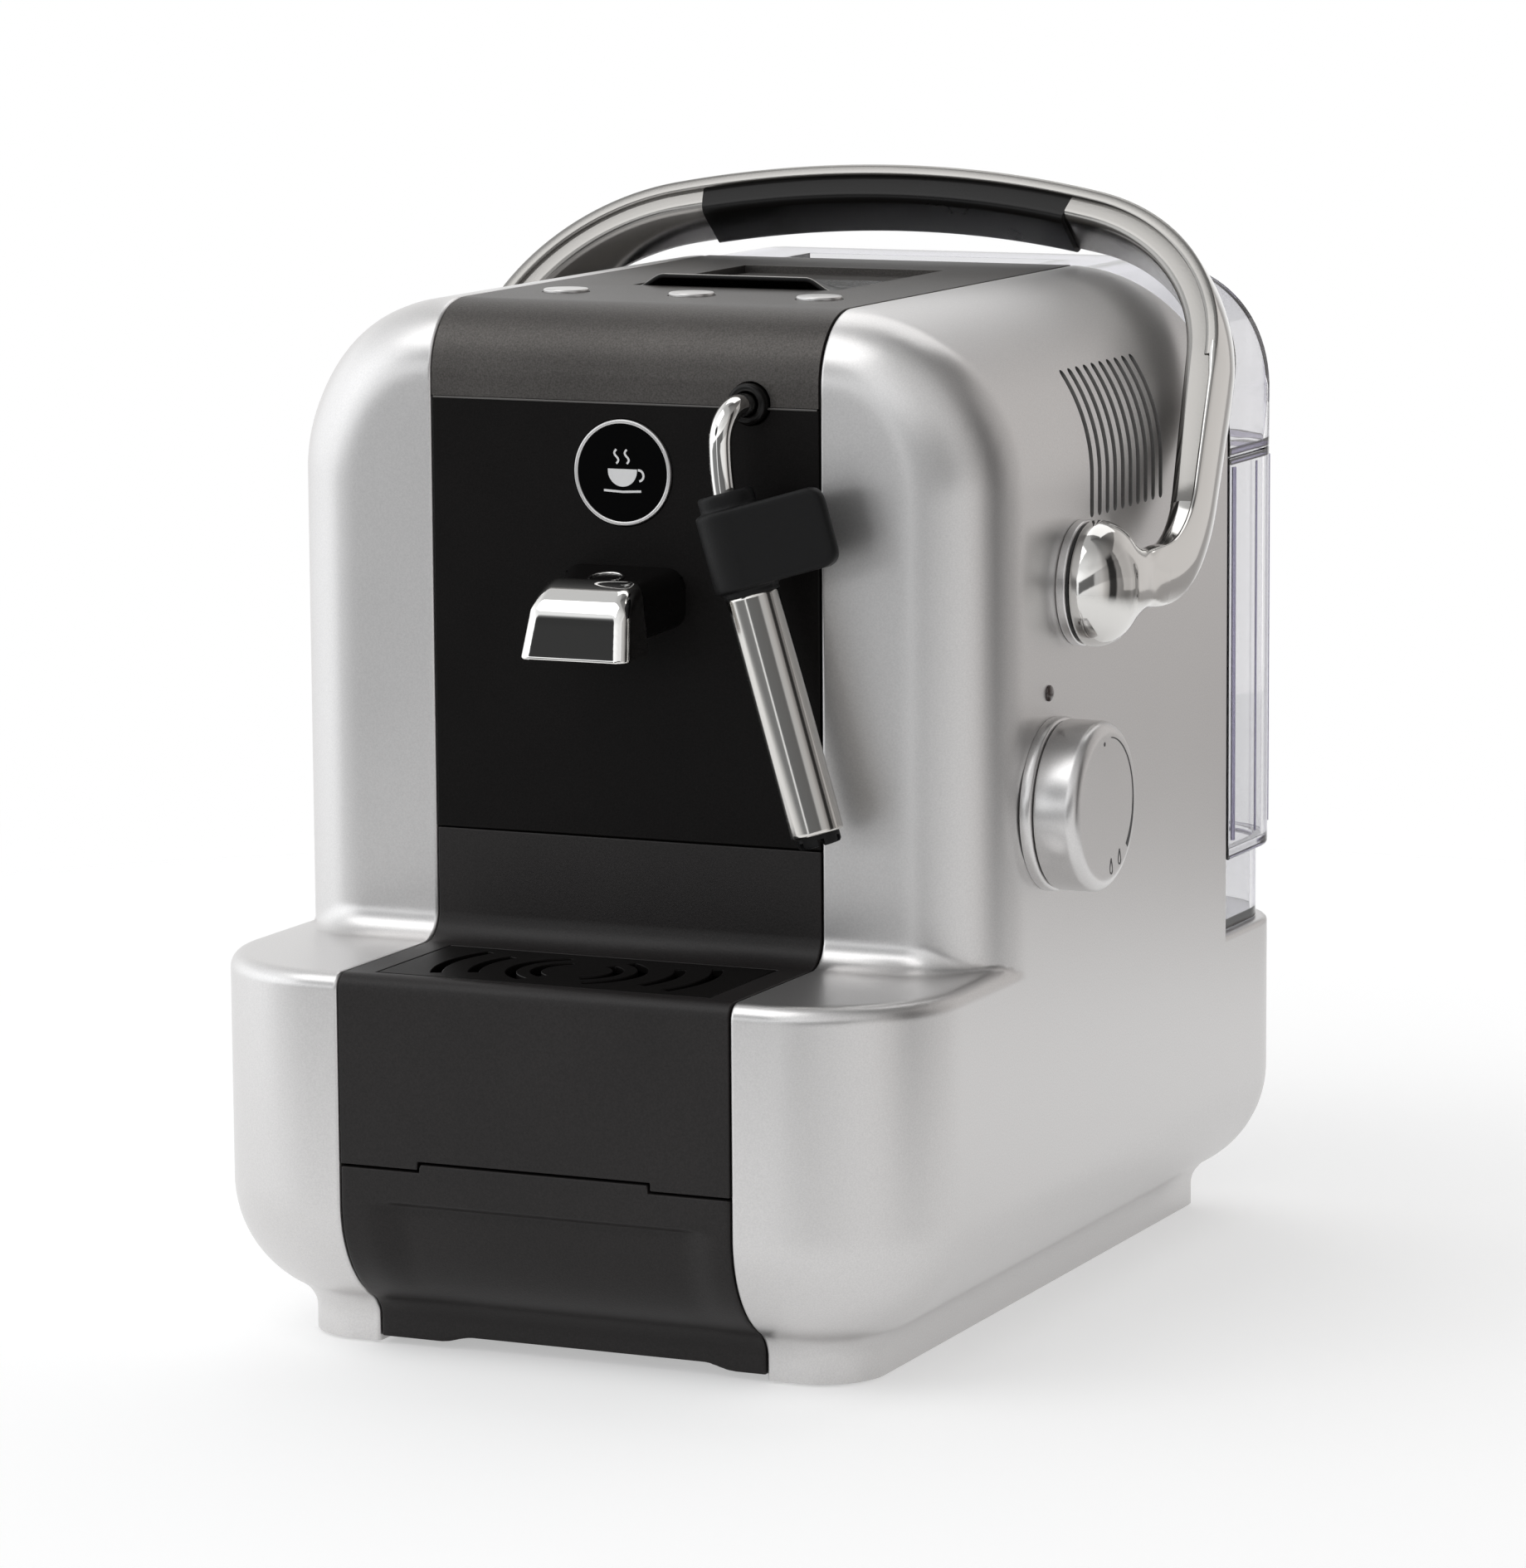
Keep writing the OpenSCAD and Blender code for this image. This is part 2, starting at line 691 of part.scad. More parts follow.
module pump_hose() {
    z = pump_top + 7;
    y = in_rear - 8;
    color([0.9, 0.9, 0.92])
        hose([[pump_out.x, pump_out.y, pump_top], [pump_out.x, pump_out.y, z],
              [pump_out.x, y, z], [boiler_at.x, y, z],
              [boiler_at.x, boiler_at.y + boiler_dia / 2 + 3, z],
              [boiler_at.x, boiler_at.y + boiler_dia / 2 + 0.05, z]], hose_dia - 1);
}

module brew_hose() {
    z = boiler_top + 20;
    color([0.9, 0.9, 0.92])
        hose([[boiler_at.x, boiler_at.y, boiler_top], [boiler_at.x, boiler_at.y, z],
              [-frame_x - frame_t, boiler_at.y, z]], hose_dia - 1);
}

valve_x = [62, half_w - wall - gap];
valve_dia = 18;

module steam_valve() {
    color([0.7, 0.6, 0.3]) difference() {
        rod_x(valve_x[0], valve_x[1], knob_at.y, knob_at.z, valve_dia);
        rod_x(valve_x[0] + 8, valve_x[1] + 1, knob_at.y, knob_at.z, knob_pin + 2 * fit);
    }
}

module steam_feed_hose() {
    y = knob_at.y - 12;
    z = knob_at.z + 16;
    color([0.9, 0.9, 0.92])
        hose([[boiler_at.x, boiler_at.y - boiler_dia / 2 - 0.05, z], [boiler_at.x, y, z],
              [valve_x[0] + 14, y, z], [valve_x[0] + 14, knob_at.y, z],
              [valve_x[0] + 14, knob_at.y, knob_at.z + valve_dia / 2 + 0.05]], hose_dia - 1, true);
}

gland_y = [panel_y - 2.2, in_front + 7];

module steam_hose() {
    y = gland_y[1] + 8;
    color([0.9, 0.9, 0.92])
        hose([[valve_x[0], knob_at.y, knob_at.z], [valve_x[0] - 8, knob_at.y, knob_at.z],
              [valve_x[0] - 8, y, knob_at.z], [valve_x[0] - 8, y, wand_z], [wand_x, y, wand_z],
              [wand_x, gland_y[1], wand_z]], hose_dia - 1, true);
}

module circuit_board() {
    color([0.1, 0.35, 0.2]) {
        box(board_x, board_x + 1.6, board[0], board[1], board[2], board[3]);
        box(board_x - 2.5, board_x + eps, board[0] + 22, board[0] + 42, board[2] + 20, board[2] + 34);
    }
}

module control_board() {
    color([0.1, 0.35, 0.2]) {
        box(-47, 47, button_at - 6.5, button_at + 6.5, switch_top, switch_top + 1.6);
        for (i = [-1 : 1])
            box(i * button_pitch - 3, i * button_pitch + 3, button_at - 3, button_at + 3,
                switch_top + 1.6 - eps, switch_top + 3);
    }
}

// ---------- badge and spout ----------

module badge_ring() {
    color(silver) difference() {
        rod_y(0, panel_y - 0.7, panel_y + 0.8, badge_z, badge_dia);
        rod_y(0, panel_y - 1, panel_y + 1, badge_z, badge_dia - 2 * badge_rim);
    }
}

module badge_disc() {
    color([0.03, 0.03, 0.035])
        rod_y(0, panel_y - 0.5, panel_y + 0.8, badge_z, badge_dia - 2 * badge_rim);
}

cover_y = panel_y - spout_out;
root_half = spout_half + 2.5;
join_y = cover_y + 13;
inset_r = 4.6;
inset_at = [panel_y - 8, spout_top - 1.8];

// Chrome cover of the spout in (Y, Z), t inside its outer surface
module spout_section(t) {
    r = 11 - t;
    translate([cover_y + t, spout_z - 1]) square([join_y - cover_y - t, spout_top - 12 - spout_z]);
    translate([cover_y + 11, spout_z - 1]) square([2 - t / 4, spout_top - 2 - t + 1 - spout_z]);
    intersection() {
        translate([cover_y + 11, spout_top - 13]) circle(r);
        translate([cover_y, spout_z]) square([11 + eps, spout_top]);
    }
}

module spout_cover() {
    color(chrome) difference() {
        intersection() {
            along_x(-spout_half, spout_half) spout_section(0);
            box(-spout_half - 1, spout_half + 1, cover_y - 1, join_y + 1, spout_z, spout_top);
        }
        along_x(-spout_half + sheet, spout_half - sheet) spout_section(sheet);
        box(-spout_half + sheet, spout_half - sheet, join_y - 3, join_y + 1,
            spout_z - 1, spout_top - 2 - sheet);
    }
}

module spout_hood() {
    color(black) difference() {
        hull() {
            box(-root_half, root_half, panel_y - 1, panel_y, spout_top - spout_h, spout_top - 5);
            box(-root_half + 5, root_half - 5, panel_y - 1, panel_y, spout_top - 1, spout_top);
            box(-spout_half, spout_half, join_y, join_y + 1, spout_top - spout_h - 3, spout_top - 8);
            box(-spout_half + 4, spout_half - 4, join_y, join_y + 1, spout_top - 3, spout_top - 2);
        }
        rod_y(0, join_y - 1, panel_y + 1, spout_mid, duct_dia);
        translate([0, inset_at.x, inset_at.y]) cylinder(r = inset_r + 0.1, h = 3);
    }
}

module spout_outlets() {
    color([0.15, 0.15, 0.15]) difference() {
        box(-7, 7, cover_y + sheet + 2, join_y, spout_z + 3, spout_top - 10);
        for (sx = [-1, 1])
            translate([sx * 3.5, cover_y + 7.3, spout_z + 2]) cylinder(d = 4, h = 12);
    }
}

module hood_inset() {
    color(chrome) translate([0, inset_at.x, inset_at.y]) cylinder(r = inset_r, h = 1.5);
}

// ---------- small fittings on the outside ----------

module wand_gland() {
    color([0.03, 0.03, 0.03]) difference() {
        rod_y(wand_x, gland_y[0], gland_y[1], wand_z, gland_dia - gap / 2);
        rod_y(wand_x, gland_y[0] - 1, gland_y[1] - 2, wand_z, tube_dia + 2 * fit);
    }
}

module pilot_lamp() {
    color([0.4, 0.1, 0.08])
        rod_x(half_w - wall - 1, half_w + 0.6, lamp_y, lamp_z, lamp_dia);
}

module knob_base() {
    color(silver) difference() {
        rod_x(half_w, half_w + knob_ring, knob_at.y, knob_at.z, knob_dia + 1);
        rod_x(half_w - 1, half_w + 5, knob_at.y, knob_at.z, knob_pin + 2 * fit);
    }
}

module hub_ring(x0, x1, d) {
    difference() {
        rod_x(x0, x1, pivot.y, pivot.z, d);
        rod_x(x0 - 1, x1 + 1, pivot.y, pivot.z, shaft_dia + 2 * fit);
    }
}

module hub_bosses() {
    color(silver) for (sx = [0, 1]) mirror([sx, 0, 0])
        hub_ring(half_w, half_w + boss_t, 2 * hub_r);
}

module hub_washers() {
    color(black) for (sx = [0, 1]) mirror([sx, 0, 0])
        hub_ring(half_w + boss_t, half_w + boss_t + washer_t, 2 * hub_r - 2);
}

module tank_seat() {
    color([0.05, 0.05, 0.05]) difference() {
        rod_y(seat_x, in_rear - 4, tank_y, seat_z, seat_dia - 0.2);
        rod_y(seat_x, in_rear, tank_y + 1, seat_z, seat_dia - 6);
    }
}

// ---------- lever ----------

hub_x = half_w + boss_t + washer_t + gap;
shoulder_reach = (body_h - top_r - pivot.z) / cos(lever_lean) * tan(lever_splay);
leg_x = half_w + arm_gap + bar_t / 2 + shoulder_reach;
lean_dir = [0, sin(lever_lean), cos(lever_lean)];
arm_dir = [-sin(lever_splay), cos(lever_splay) * sin(lever_lean),
           cos(lever_splay) * cos(lever_lean)];
arch_at = [0, pivot.y + lever_leg, pivot.z];
crown_s = lever_rise - crown_r;
// Middle of the corner's curve, in the leaning plane: (distance from the middle, height)
corner_base = [leg_x - corner_r * cos(lever_splay), -corner_r * sin(lever_splay) - crown_s];
arm_line = [-sin(lever_splay), cos(lever_splay)];
half_b = corner_base * arm_line;
arm_t = -half_b + sqrt(half_b * half_b - corner_base * corner_base
                       + (crown_r - corner_r) * (crown_r - corner_r));
corner_mid = [corner_base.x + arm_t * arm_line.x, corner_base.y + crown_s + arm_t * arm_line.y];
crown_angle = atan2(corner_mid.y - crown_s, corner_mid.x);
turn = acos(arm_dir.y);
bend_len = bend_r * tan(turn / 2);

function unit(v) = v / norm(v);
function in_arch(p) = arch_at + [p.x, 0, 0] + p.y * lean_dir;

// One station of the bar: [centre, direction, outward, share of the way up the arm]
function leg_station(y, share) = [[leg_x, pivot.y + y, pivot.z], [0, 1, 0], [1, 0, 0], share];
function bend_station(a) =
    let(start = [leg_x, arch_at.y - bend_len, pivot.z],
        side = unit(arm_dir - arm_dir.y * [0, 1, 0]),
        dir = cos(a) * [0, 1, 0] + sin(a) * side,
        centre = start + bend_r * (sin(a) * [0, 1, 0] + (1 - cos(a)) * side))
    [centre, dir, unit([1, 0, 0] - dir.x * dir), 0.5 * a / turn];
function corner_station(a) =
    [in_arch(corner_mid + corner_r * [cos(a), sin(a)]), -sin(a) * [1, 0, 0] + cos(a) * lean_dir,
     [cos(a), 0, 0] + sin(a) * lean_dir, 1];
function crown_station(a) =
    [in_arch([0, crown_s] + crown_r * [cos(a), sin(a)]), -sin(a) * [1, 0, 0] + cos(a) * lean_dir,
     [cos(a), 0, 0] + sin(a) * lean_dir, 1];
function flip(s) = [[-s[0].x, s[0].y, s[0].z], [s[1].x, -s[1].y, -s[1].z],
                    [-s[2].x, s[2].y, s[2].z], s[3]];

grip_angle = asin(grip_half / crown_r);
bend_steps = 6;
corner_steps = 7;
crown_steps = 4;
grip_steps = 8;
arm_stations = concat(
    [leg_station(0, -1.4), leg_station(hub_r - 3, 0)],
    [for (i = [0 : bend_steps]) bend_station(turn * i / bend_steps)],
    [for (i = [0 : corner_steps])
        corner_station(lever_splay + (crown_angle - lever_splay) * i / corner_steps)],
    [for (i = [1 : crown_steps])
        crown_station(crown_angle + (90 - grip_angle - crown_angle) * i / crown_steps)]);
grip_stations = [for (i = [0 : grip_steps])
    crown_station(90 - grip_angle + 2 * grip_angle * i / grip_steps)];
arm_n = len(arm_stations);

// Half outline of the bar as shares of half its thickness (outward) and half its width
bar_half = [[1, 0.33], [0.88, 0.72], [0.64, 0.95], [0.32, 1], [0.12, 0.8], [-0.3, 0.78],
            [-0.75, 0.69], [-1, 0.4]];

// Outline of a strip between depths u0 and u1 (outward), 4 points in each round corner
function bar_outline(u0, u1, w, r) =
    [for (c = [[u1 - r, w / 2 - r, 0], [u0 + r, w / 2 - r, 90],
               [u0 + r, r - w / 2, 180], [u1 - r, r - w / 2, 270]], k = [0 : 3])
        [c[0] + r * cos(c[2] + 30 * k), c[1] + r * sin(c[2] + 30 * k)]];
function place(s, p) = s[0] + p.x * s[2] + p.y * cross(s[1], s[2]);
function bar_ring(s) =
    let(w = bar_w * (0.85 + 0.15 * s[3]), t = bar_t * (0.75 + 0.25 * s[3]))
    concat([for (p = bar_half) place(s, [p.x * t / 2, p.y * w / 2])],
           [for (k = [7 : -1 : 0]) place(s, [bar_half[k].x * t / 2, -bar_half[k].y * w / 2])]);
function band_ring(s) =
    [for (p = bar_outline(bar_t / 2 - band_t, bar_t / 2, bar_w, 1.6)) place(s, p)];
function grip_ring(s) =
    [for (p = bar_outline(bar_t / 2 - band_t - grip_t, bar_t / 2 - band_t - eps, bar_w - 3, 2.4))
        place(s, p)];

// Solid through a list of rings with n points each
module skin(rings) {
    n = len(rings[0]);
    m = len(rings);
    points = [for (ring = rings, p = ring) p];
    sides = [for (i = [0 : m - 2], k = [0 : n - 1])
        [i * n + k, (i + 1) * n + k, (i + 1) * n + (k + 1) % n, i * n + (k + 1) % n]];
    halves = [for (q = sides) each [[q[0], q[1], q[2]], [q[0], q[2], q[3]]]];
    polyhedron(points, concat(halves, [[for (k = [0 : n - 1]) k]],
                              [[for (k = [n - 1 : -1 : 0]) (m - 1) * n + k]]), convexity = 8);
}

bail_rings = concat(
    [for (s = arm_stations) bar_ring(s)],
    [for (s = grip_stations) band_ring(s)],
    [for (i = [arm_n - 1 : -1 : 0]) bar_ring(flip(arm_stations[i]))]);
grip_rings = [for (s = grip_stations) grip_ring(s)];

// Moves a ring a share of the way to the next one
function toward(a, b, share) = [for (k = [0 : len(a) - 1]) a[k] * (1 - share) + b[k] * share];

first = arm_n;
last = arm_n + grip_steps;
bail_clean = [for (i = [0 : len(bail_rings) - 1])
    i == first ? toward(bail_rings[i], bail_rings[i + 1], 0.02)
    : i == last ? toward(bail_rings[i], bail_rings[i - 1], 0.02)
    : bail_rings[i]];
grip_clean = [for (i = [0 : grip_steps])
    i == 0 ? toward(grip_rings[0], grip_rings[1], 0.04)
    : i == grip_steps ? toward(grip_rings[i], grip_rings[i - 1], 0.04)
    : grip_rings[i]];

module hub_dome() {
    translate([hub_x, pivot.y, pivot.z]) rotate([0, 90, 0]) rotate_extrude()
        intersection() {
            union() {
                square([hub_r, 2]);
                translate([0, hub_h - dome_r]) circle(dome_r);
            }
            square([hub_r, hub_h]);
        }
}

dome_r = (hub_r * hub_r + (hub_h - 2) * (hub_h - 2)) / (2 * (hub_h - 2));

module lever_bail() {
    color(chrome) difference() {
        union() {
            skin(bail_clean);
            for (sx = [0, 1]) mirror([sx, 0, 0]) hub_dome();
        }
        for (sx = [0, 1]) mirror([sx, 0, 0])
            rod_x(hub_x - 1, hub_x + 6, pivot.y, pivot.z, shaft_dia + 0.1);
    }
}

module lever_grip() {
    color([0.05, 0.05, 0.05]) skin(grip_clean);
}

module lever_shaft() {
    color([0.6, 0.6, 0.62]) rod_x(-hub_x - 5.5, hub_x + 5.5, pivot.y, pivot.z, shaft_dia);
}

// ---------- top ----------

module capsule_hatch() {
    top = body_h - hatch_floor + gap + hatch_t;
    color([0.06, 0.06, 0.06]) {
        box(-hatch_half, hatch_half, hatch_at, hatch_at + hatch_len, top - hatch_t, top);
        finger_lip(top);
    }
}

// Finger lip: a low plate with sloping ends
module finger_lip(z) {
    slope = 9;
    translate([0, hatch_at + 3, z - eps]) rotate([90, 0, 0]) linear_extrude(3)
        polygon([[-hatch_half, 0], [hatch_half, 0], [hatch_half - slope, lip_h],
                 [slope - hatch_half, lip_h]]);
}

module button(i) {
    color(silver) translate([i * button_pitch, button_at, 0]) {
        translate([0, 0, body_h - 0.9]) cylinder(d = button_dia, h = button_up + 0.9);
        translate([0, 0, switch_top + 3 + button_travel + 0.2])
            cylinder(d = stem_dia, h = body_h - 0.9 - switch_top - 3 - button_travel);
    }
}

module button_left() { button(-1); }
module button_middle() { button(0); }
module button_right() { button(1); }

// ---------- steam knob ----------

knob_x = half_w + knob_ring + gap;

module steam_knob() {
    r = knob_dia / 2;
    color(silver) difference() {
        translate([knob_x, knob_at.y, knob_at.z]) rotate([0, 90, 0]) rotate_extrude() {
            square([r, knob_len - knob_edge]);
            square([r - knob_edge, knob_len]);
            intersection() {
                translate([r - knob_edge, knob_len - knob_edge]) circle(knob_edge);
                translate([r - knob_edge, knob_len - knob_edge]) square(knob_edge);
            }
        }
        rod_x(knob_x - 1, knob_x + 7, knob_at.y, knob_at.z, knob_pin + 0.1);
    }
}

module knob_shaft() {
    color([0.6, 0.6, 0.62]) rod_x(valve_x[0] + 10, knob_x + 6.5, knob_at.y, knob_at.z, knob_pin);
}

// ---------- steam wand ----------

elbow_r = 8;
wand_y = panel_y - wand_out;
wand_top = wand_z - tube_drop;
tube_in = 6;
collar_h = 4;
grip_body = wand_grip_len - collar_h;

// Moves children from the wand's axis frame, +Z up along the sleeve, to the machine
module on_wand() {
    translate([wand_x, wand_y, wand_top]) rotate([0, -wand_lean, 0]) children();
}

module wand_tube() {
    color(chrome) {
        rod_y(wand_x, wand_y + elbow_r - eps, gland_y[1] - 2.5, wand_z, tube_dia);
        intersection() {
            translate([wand_x, wand_y + elbow_r, wand_z - elbow_r]) rotate([0, 90, 0])
                rotate_extrude() translate([elbow_r, 0]) circle(d = tube_dia);
            box(wand_x - 9, wand_x + 9, wand_y - 9, wand_y + elbow_r, wand_z - elbow_r, wand_z + 9);
        }
        translate([wand_x, wand_y, wand_top - tube_in])
            cylinder(d = tube_dia, h = tube_in + tube_drop - elbow_r + eps);
    }
}

module wand_grip() {
    color([0.05, 0.05, 0.05]) difference() {
        on_wand() translate([0, 0, -wand_grip_len]) {
            cylinder(d = wand_grip_dia, h = grip_body);
            translate([0, -2.5, 0.5]) cube([25, 5, grip_body - 1]);
            translate([0, 0, grip_body - eps]) cylinder(d = sleeve_dia + 1, h = collar_h + eps);
        }
        translate([wand_x, wand_y, wand_top - tube_in - fit])
            cylinder(d = tube_dia + 2 * fit, h = tube_in + 9);
    }
}

module wand_sleeve() {
    color(chrome)
        on_wand() translate([0, 0, -wand_grip_len - sleeve_len]) difference() {
            cylinder(d = sleeve_dia, h = sleeve_len);
            translate([0, 0, -1]) cylinder(d = sleeve_dia - 2, h = 10);
        }
}

module wand_nozzle() {
    color([0.05, 0.05, 0.05])
        on_wand() translate([0, 0, -wand_grip_len - sleeve_len - 3]) difference() {
            cylinder(d = sleeve_dia - 2.2, h = 11);
            for (a = [0, 60, 120])
                rotate([0, 0, a]) translate([-8, -0.8, -1]) cube([16, 1.6, 3]);
            translate([0, 0, -1]) cylinder(d = 3, h = 8);
        }
}

// ---------- drip tray and capsule drawer ----------

tray_back = front_y + tray_len;
tray_low = drawer_h + gap;
tray_floor = 4.6;
tab_h = 2;
rim_r = 4;
valley_r = 7;
grid_y = [front_y + 6, panel_y - 9];
grid_z = ledge_h - grid_t;
notch_half = 31;

// Drip tray in (Y, Z): front block with a round upper edge, back plate and low basin behind
module tray_section() {
    polygon(concat(
        [[front_y, tray_low]],
        arc([front_y + rim_r, ledge_h - rim_r], rim_r, 180, 90, 8),
        arc([panel_y - valley_r, ledge_h + valley_r], valley_r, 270, 360, 8),
        [[panel_y, plate_h - gap / 2], [in_front, plate_h - gap / 2],
         [in_front, ledge_h - 8], [tray_back, ledge_h - 8], [tray_back, tray_low]]));
}

module drip_tray() {
    color(black) difference() {
        along_x(-strip_half, strip_half) tray_section();
        box(-strip_half + wall, strip_half - wall, front_y + wall, tray_back - wall,
            tray_low + tray_floor, ledge_h - wall);
        box(-grid_half - gap, grid_half + gap, grid_y[0] - gap, grid_y[1] + gap,
            grid_z - gap, ledge_h + 1);
        box(-grid_half + 2, grid_half - 2, grid_y[0] + 2, grid_y[1] - 2, ledge_h - wall - 1, ledge_h);
        box(-notch_half, notch_half, front_y - 1, tray_back + 1, tray_low - 1, tray_low + tab_h);
    }
}

module ring_slot(r, a0, a1) {
    rotate([0, 0, a0]) rotate_extrude(angle = a1 - a0) translate([r - grid_slot / 2, -5])
        square([grid_slot, 10]);
}

module drip_grid() {
    color([0.06, 0.06, 0.06]) difference() {
        box(-grid_half, grid_half, grid_y[0], grid_y[1], grid_z, ledge_h);
        translate([0, (grid_y[0] + grid_y[1]) / 2, ledge_h]) {
            for (r = [10, 16]) {
                ring_slot(r, -60, 60);
                ring_slot(r, 120, 240);
            }
            for (r = [25, 34], side = [0, 180]) ring_slot(r, side - 26, side + 26);
        }
    }
}

module drawer_front() {
    inner = belly_line(wall, 18);
    color(black) along_x(-strip_half, strip_half) translate([front_y, 0]) polygon(concat(
        [[0, drawer_h - gap]],
        belly_line(0, 18),
        [[foot_in, base_z - 1], [foot_in + wall, base_z - 1]],
        [for (i = [18 : -1 : 0]) inner[i]],
        [[wall, drawer_h - gap]]));
    color(black) box(gap - notch_half, notch_half - gap, front_y, front_y + wall,
                     drawer_h - gap - eps, tray_low + tab_h - gap);
}

bin_half = strip_half - 3;
bin_front = front_y + foot_in + wall + 1;
bin_back = front_y + drawer_len;
bin_low = base_top + gap;
bin_top = drawer_h - 3.2;
bin_wall = 2;

module capsule_bin() {
    color([0.12, 0.12, 0.13]) {
        difference() {
            box(-bin_half, bin_half, bin_front, bin_back, bin_low, bin_top);
            box(-bin_half + bin_wall, bin_half - bin_wall, bin_front + bin_wall,
                bin_back - bin_wall, bin_low + bin_wall, bin_top + 1);
        }
        box(-bin_half, bin_half, front_y + wall, bin_front + eps, bin_top - 3, bin_top);
    }
}

// ---------- water tank ----------

tank_gap = 0.6;
tank_front = tank_y + tank_gap;
tank_low = notch_h + gap;
valve_tip = 7;

// Plan of the tank, t inside its outer line, both halves
module tank_plan(t) {
    for (sx = [0, 1]) mirror([sx, 0]) intersection() {
        plan_half(t, -eps);
        translate([-eps, tank_front + t]) square([half_w, tank_d]);
    }
}

module water_tank() {
    z1 = tank_low + tank_foot;
    color(clear) difference() {
        union() {
            translate([0, 0, z1]) linear_extrude(rim_z - z1) tank_plan(0);
            translate([0, 0, tank_low]) linear_extrude(tank_foot + eps) tank_plan(tank_in);
        }
        translate([0, 0, z1 + tank_wall]) linear_extrude(rim_z - z1) tank_plan(tank_wall);
        translate([0, 0, tank_low + tank_wall])
            linear_extrude(tank_foot) tank_plan(tank_in + tank_wall);
        rod_y(seat_x, tank_front, tank_front + 8, seat_z, 5);
    }
}

module tank_valve() {
    color([0.85, 0.85, 0.88]) difference() {
        rod_y(seat_x, tank_y - wall + 0.6, tank_front + tank_in, seat_z, seat_dia - 7);
        rod_y(seat_x, tank_y - wall, tank_front + tank_in + 1, seat_z, 4);
    }
}

pocket_back = tank_front + 30;
pocket_z = body_h - 14;

// Dome of the lid, t inside its outer surface
module lid_block(t) {
    intersection() {
        translate([0, 0, rim_z - 1]) linear_extrude(body_h) tank_plan(t);
        for (sx = [0, 1]) mirror([sx, 0, 0])
            translate([0, rear_y + 1, -lid_drop]) rotate([90, 0, 0]) linear_extrude(tank_d + 5)
                shoulder_section(t, -eps, rim_z - 1);
    }
}

module tank_lid() {
    color(clear) difference() {
        lid_block(0);
        difference() {
            lid_block(tank_wall);
            box(-pocket_half - tank_wall, pocket_half + tank_wall, tank_y - 1,
                pocket_back + tank_wall, pocket_z - tank_wall, body_h + 1);
        }
        box(-pocket_half, pocket_half, tank_y - 1, pocket_back, pocket_z, body_h + 1);
        box(-half_w - 1, half_w + 1, tank_y - 1, rear_y + 1, rim_z - 2, rim_z + gap);
    }
}

base_plate();
rubber_feet();
base_screws();
left_shell();
right_shell();
front_panel();
top_cover();
rear_panel();
rear_screws();
chassis();
brew_frame();
brew_chamber();
coffee_duct();
boiler();
pump();
pump_mounts();
water_hose();
pump_hose();
brew_hose();
steam_feed_hose();
steam_hose();
steam_valve();
circuit_board();
control_board();
badge_ring();
badge_disc();
spout_hood();
spout_cover();
spout_outlets();
hood_inset();
wand_gland();
pilot_lamp();
knob_base();
hub_bosses();
hub_washers();
tank_seat();
inlet_socket();
inlet_pins();
lever_shaft();
lever_bail();
lever_grip();
plunger();
capsule_hatch();
button_left();
button_middle();
button_right();
steam_knob();
knob_shaft();
wand_tube();
wand_grip();
wand_sleeve();
wand_nozzle();
drip_tray();
drip_grid();
drawer_front();
capsule_bin();
water_tank();
tank_valve();
tank_lid();
power_switch();
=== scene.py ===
import json
import math
import bpy
import bmesh
import numpy as np
from mathutils import Matrix, Vector


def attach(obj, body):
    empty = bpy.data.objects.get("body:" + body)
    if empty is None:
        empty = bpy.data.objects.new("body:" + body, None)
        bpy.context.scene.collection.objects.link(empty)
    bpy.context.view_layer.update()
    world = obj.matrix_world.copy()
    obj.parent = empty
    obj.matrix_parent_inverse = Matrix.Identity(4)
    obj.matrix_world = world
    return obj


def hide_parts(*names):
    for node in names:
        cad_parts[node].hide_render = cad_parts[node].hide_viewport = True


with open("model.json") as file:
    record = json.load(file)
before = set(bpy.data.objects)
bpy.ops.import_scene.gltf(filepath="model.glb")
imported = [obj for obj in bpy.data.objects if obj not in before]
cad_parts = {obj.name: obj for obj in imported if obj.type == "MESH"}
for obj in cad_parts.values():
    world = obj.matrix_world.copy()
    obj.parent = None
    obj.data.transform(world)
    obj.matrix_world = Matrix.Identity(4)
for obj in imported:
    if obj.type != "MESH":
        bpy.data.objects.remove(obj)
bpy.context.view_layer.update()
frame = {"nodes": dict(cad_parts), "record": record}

MM = 0.001
BODIES = frame["record"]["behaviour"]["bodies"]
NODE_BODY = {n: b for b, ns in BODIES.items() for n in ns}
SLOT = {s["node"]: s["material_slot"] for s in frame["record"]["subparts"]}

# ---------- camera

AZ, EL, ROLL = math.radians(24.4845), math.radians(8.8279), math.radians(-0.3876)
back = Vector((math.sin(AZ) * math.cos(EL), -math.cos(AZ) * math.cos(EL), math.sin(EL)))
right = Vector((math.cos(AZ), math.sin(AZ), 0))
up = back.cross(right)
r2 = right * math.cos(ROLL) + up * math.sin(ROLL)
u2 = -right * math.sin(ROLL) + up * math.cos(ROLL)
cam_data = bpy.data.cameras.new("camera")
cam = bpy.data.objects.new("camera", cam_data)
bpy.context.scene.collection.objects.link(cam)
m = Matrix((r2, u2, back)).transposed().to_4x4()
m.translation = Vector((0.69447, -1.52341, 0.38617))
cam.matrix_world = m
cam_data.sensor_width = 36.0
cam_data.lens = 7999.22 * 36.0 / 1890.0
cam_data.clip_start = 0.05
bpy.context.scene.camera = cam

# ---------- materials


M = {}


